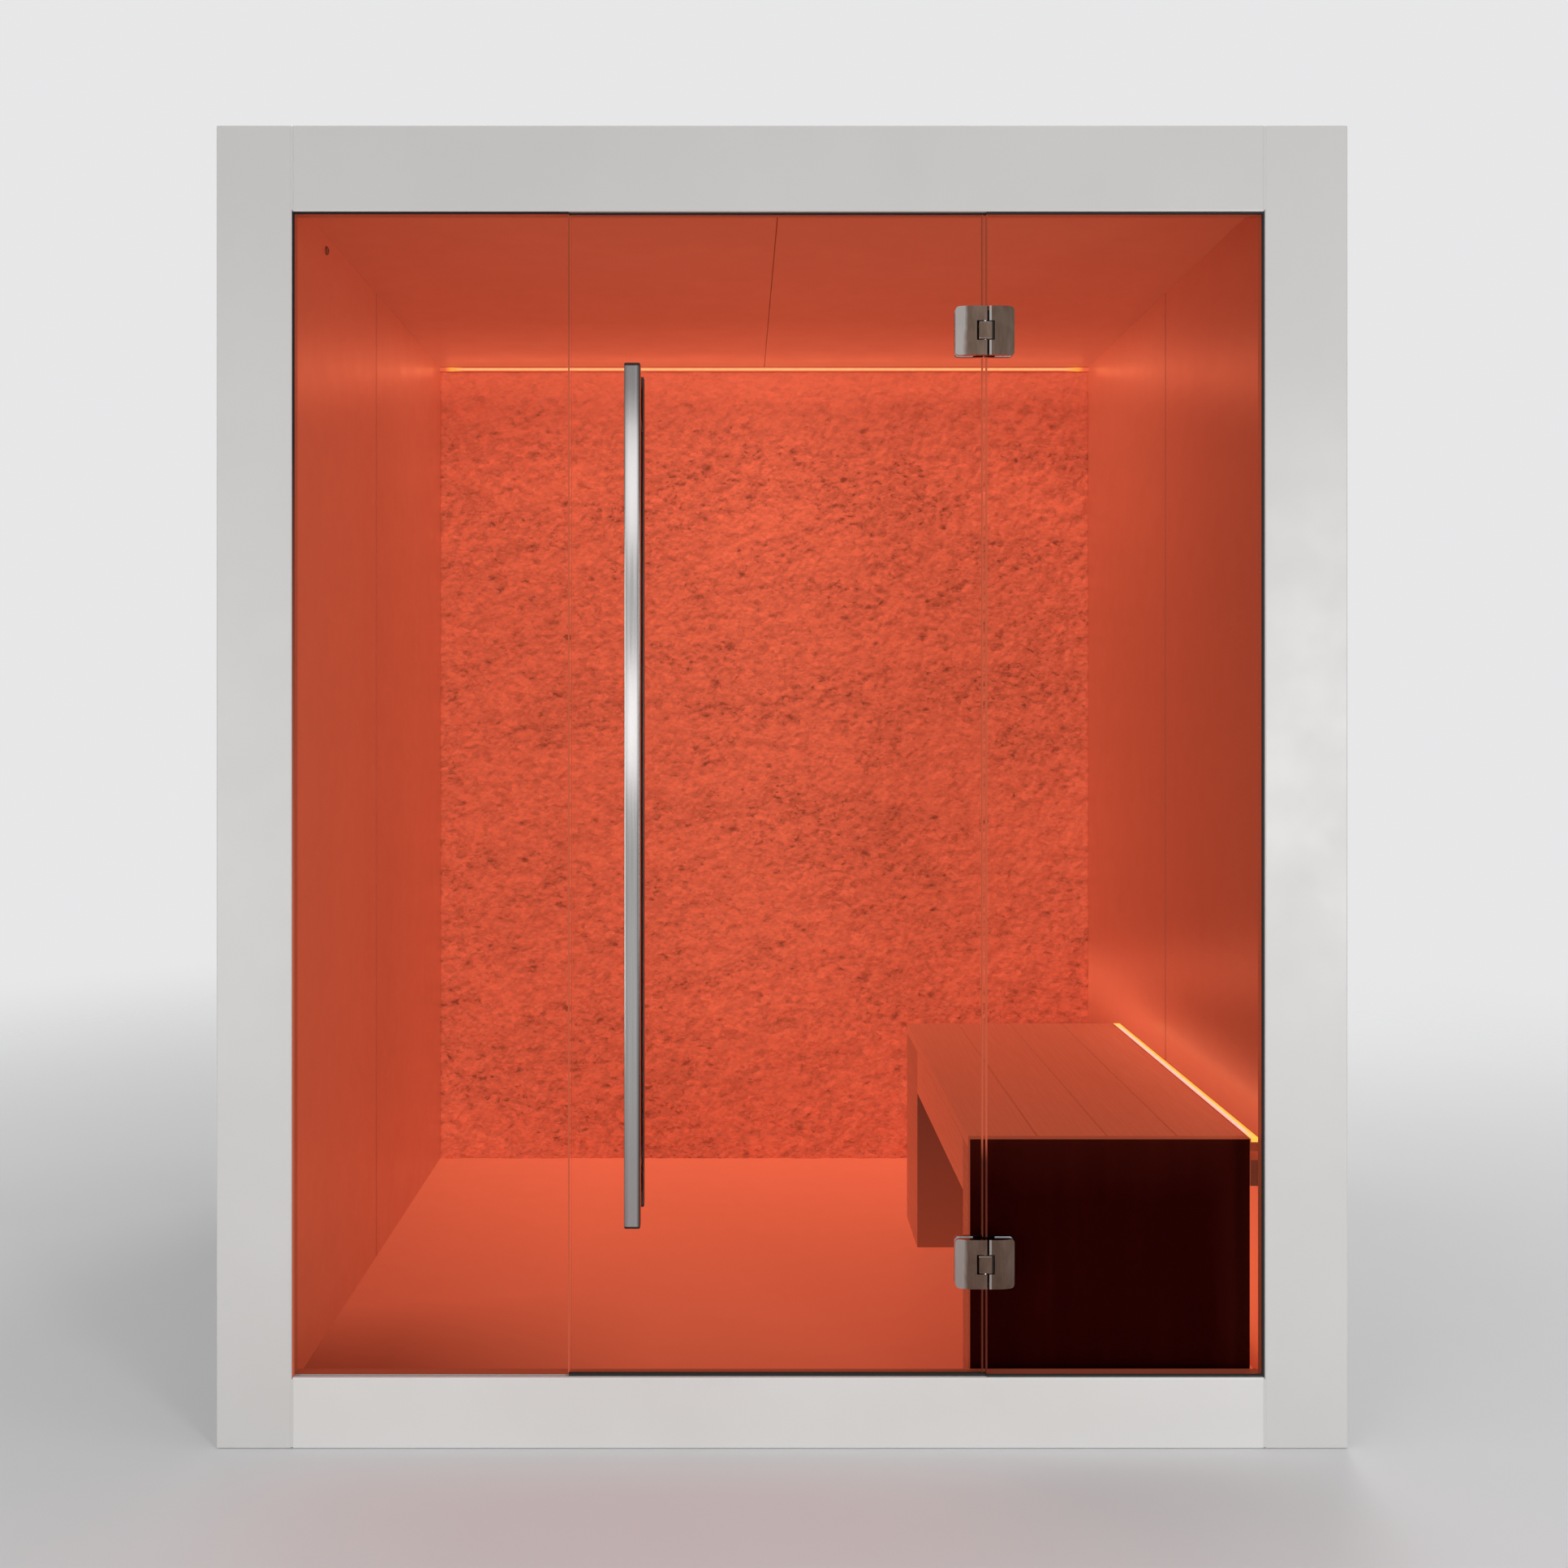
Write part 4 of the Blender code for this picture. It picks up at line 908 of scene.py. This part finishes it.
def hinge_screws():
    """The clamp screw of each inner hinge plate."""
    steel = brushed_steel("screw_steel").material
    for side, body in (("door", "door"), ("fixed", "cabin")):
        shape = bmesh.new()
        for word in ("top", "bottom"):
            low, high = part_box(f"hinge_{word}_{side}_back_plate")
            screw_head(shape, (low.x + high.x) / 2, high.y - SCREW_SINK, (low.z + high.z) / 2)
        closed_piece(f"{side}_hinge_screws", shape, steel, body, "brushed_steel")


def gasket_outline(word, side, aside):
    """Outline of one hinge gasket as (x, z) points, clear of the pin and inside its plate."""
    low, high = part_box(f"hinge_{word}_{side}_back_plate")
    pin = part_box(f"hinge_{word}_pin")
    near = (pin[0].x + pin[1].x) / 2 + aside * GASKET_FROM_PIN
    far = (low.x if aside < 0 else high.x) - aside * GASKET_INSET
    foot, head = low.z + GASKET_INSET, high.z - GASKET_INSET
    slope = far - aside * GASKET_CORNER
    return [
        (near, foot),
        (slope, foot),
        (far, foot + GASKET_CORNER),
        (far, head - GASKET_CORNER),
        (slope, head),
        (near, head),
    ]


def hinge_gaskets():
    """The thin gasket between the glass and each inner hinge plate."""
    grey = matte_plastic("gasket_grey", (0.55, 0.58, 0.60), grain=220.0)
    start = GLASS_BACK + CLEARANCE
    for side, body, aside in (("door", "door", -1), ("fixed", "cabin", 1)):
        shape = bmesh.new()
        for word in ("top", "bottom"):
            outline = gasket_outline(word, side, aside)
            faces = [[(x, y, z) for x, z in outline] for y in (start, start + CLEARANCE)]
            loft(shape, [[shape.verts.new(point) for point in face] for face in faces])
        closed_piece(f"{side}_hinge_gaskets", shape, grey, body, "rubber")


def joint_fillers():
    """White filler, almost flush, in the four upright joints between the posts and the header and sill."""
    half = (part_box("header")[0].x - OPENING_LEFT) / 2
    # The middle of a rounded edge lies 0.29 of its radius from both faces
    turn = 0.29 * BOARD_ROUND
    side = [
        (half - FILLER_SLIT, FILLER_DEPTH),
        (half - FILLER_SLIT, BOARD_ROUND),
        (half + turn - FILLER_SLIT, turn + FILLER_SLIT),
        (half + 0.70 * BOARD_ROUND, FILLER_RECESS),
    ]
    plan = side + [(-x, y) for x, y in reversed(side)]
    section = [(x, GLASS_FRONT - CLEARANCE - FRONT - y) for x, y in plan]
    routes = []
    for name in ("header", "sill"):
        low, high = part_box(name)
        for x in (OPENING_LEFT + half, OPENING_RIGHT - half):
            routes.append([(x, z, 1, 0) for z in (low.z + BOARD_ROUND, high.z - BOARD_ROUND)])
    strips("joint_filler", section, routes, white_lacquer("joint_filler"), "cabin", "white_board")


# Camera, light and floor


def camera():
    """The photograph's view: level, square on to the front, with its frame shifted."""
    data = bpy.data.cameras.new("camera")
    data.lens = LENS
    data.sensor_width = SENSOR
    data.shift_x = SHIFT_X
    data.shift_y = SHIFT_Y
    view = bpy.data.objects.new("camera", data)
    bpy.context.scene.collection.objects.link(view)
    view.location = (CAMERA_X, FRONT - CAMERA_BEFORE_FRONT, CAMERA_HEIGHT)
    view.rotation_euler = (math.pi / 2, 0, 0)
    bpy.context.scene.camera = view


def lamp(name, where, target, size, power, colour=(1, 1, 1), seen=True):
    """A soft rectangular lamp, hidden from the camera, and from gloss too unless it is to be seen there."""
    data = bpy.data.lights.new(name, "AREA")
    data.shape = "RECTANGLE"
    data.size, data.size_y = size
    data.energy = power
    data.color = colour
    light = bpy.data.objects.new(name, data)
    bpy.context.scene.collection.objects.link(light)
    light.location = where
    light.rotation_euler = (Vector(target) - light.location).to_track_quat("-Z", "Y").to_euler()
    light.visible_camera = False
    light.visible_transmission = False
    light.visible_glossy = seen
    return light


def studio_lamps():
    """Soft studio light from all sides. The two front lamps are seen in the handle bar."""
    lamp("left", (-2.8, -4.4, 0.8), (0, -0.7, 0.7), (2.2, 2.2), 58)
    lamp("right", (2.3, -4.3, 1.05), (0.85, -0.7, 1.05), (0.8, 1.9), 60)
    for word, height, power in (("high", 2.08, 1.65), ("low", 1.11, 2.0)):
        lamp(f"front_{word}", (-0.5, -4.6, height), (-0.5, -0.7, height), (0.7, 0.48), power)
    lamp("top", (0, 0.0, 4.6), (0, 0, 0), (3.0, 3.0), 60)
    lamp("rear", (2.0, 4.2, 2.4), (0, 0.7, 1.0), (2.5, 2.5), 60)


def room_lamps():
    """Light of the two lines and of the room."""
    orange, red, warm = (1.0, 0.55, 0.40), (1.0, 0.20, 0.09), (1.0, 0.72, 0.55)
    line = (0, SALT_FACE - 0.05, 2.02)
    lamp("wall_line", line, (0, SALT_FACE - 0.30, 0.0), (1.6, 0.06), 0.05, orange, seen=False)
    shine = lamp("wall_shine", (0, SALT_FACE - 0.02, 2.02), (0, -1.0, 1.9), (1.6, 0.02), 0.15, red)
    shine.visible_diffuse = False
    lamp("room", (0, 0.3, 2.03), (0, 0.34, 0.0), (1.4, 0.6), 2.0, seen=False)
    low, high = BENCH_LIGHT
    middle = (low.y + high.y) / 2
    gap = (0.772, middle, 0.25)
    lamp("bench_gap", gap, (RIGHT_WALL, middle, 0.25), (0.84, 0.36), 1.5, warm, seen=False)
    over = (RIGHT_WALL - 0.05, middle, high.z + 0.09)
    lamp("bench_line", over, (RIGHT_WALL - 0.12, middle, high.z), (0.88, 0.02), 0.3, warm, seen=False)


def pale_world():
    """Plain soft light, and a pale ground for the camera, gloss and glass."""
    world = bpy.data.worlds.new("studio")
    bpy.context.scene.world = world
    world.use_nodes = True
    tree = world.node_tree
    light = tree.nodes["Background"]
    light.inputs["Color"].default_value = (0.82, 0.82, 0.83, 1.0)
    light.inputs["Strength"].default_value = 0.45
    pale = tree.nodes.new("ShaderNodeBackground")
    pale.inputs["Color"].default_value = (0.80, 0.80, 0.81, 1.0)
    path = tree.nodes.new("ShaderNodeLightPath")
    seen = path.outputs["Is Camera Ray"]
    for ray in ("Is Glossy Ray", "Is Transmission Ray"):
        either = tree.nodes.new("ShaderNodeMath")
        either.operation = "MAXIMUM"
        tree.links.new(seen, either.inputs[0])
        tree.links.new(path.outputs[ray], either.inputs[1])
        seen = either.outputs[0]
    mixed = tree.nodes.new("ShaderNodeMixShader")
    tree.links.new(seen, mixed.inputs["Fac"])
    tree.links.new(light.outputs[0], mixed.inputs[1])
    tree.links.new(pale.outputs[0], mixed.inputs[2])
    tree.links.new(mixed.outputs[0], tree.nodes["World Output"].inputs["Surface"])


def floor_paint():
    """Pale floor that fades into the world with its distance."""
    look = Surface("pale_floor", roughness=0.7, specular_ior_level=0.2)
    cloud = look.noise(scale=0.8, detail=4.0)
    look.set("base_color", look.colours(cloud, (0.3, (0.80, 0.80, 0.805)), (0.7, (0.83, 0.83, 0.835))))
    flat = look.node("CombineXYZ", X=look.axis("X"), Y=look.axis("Y"))
    far = look.node("VectorMath", {"operation": "LENGTH"})
    look.feed(far.inputs[0], flat.outputs[0])
    fade = look.range(far.outputs["Value"], low=1.0, high=0.0, start=1.3, end=4.8)
    fade.node.interpolation_type = "SMOOTHSTEP"
    look.set("alpha", fade)
    return look.material


def pale_floor():
    """The studio's floor, just under the cabin."""
    radius, segments, drop = 14.0, 96, 0.0005
    shape = bmesh.new()
    bmesh.ops.create_circle(shape, cap_ends=True, segments=segments, radius=radius)
    mesh = bpy.data.meshes.new("floor")
    shape.to_mesh(mesh)
    shape.free()
    mesh.materials.append(floor_paint())
    ground = bpy.data.objects.new("floor", mesh)
    bpy.context.scene.collection.objects.link(ground)
    ground.location.z = -drop


camera()
studio_lamps()
room_lamps()
pale_world()
pale_floor()

soft_black = matte_plastic("rubber", (0.012, 0.0115, 0.011), grain=180.0)
paint_shell(soft_black)
paint_room()
paint_front()
paint_lights()
glazing_beads(soft_black)
door_seals(soft_black)
edge_seals()
hinge_screws()
hinge_gaskets()
joint_fillers()
salt_relief()

bpy.context.scene.view_settings.view_transform = "Standard"
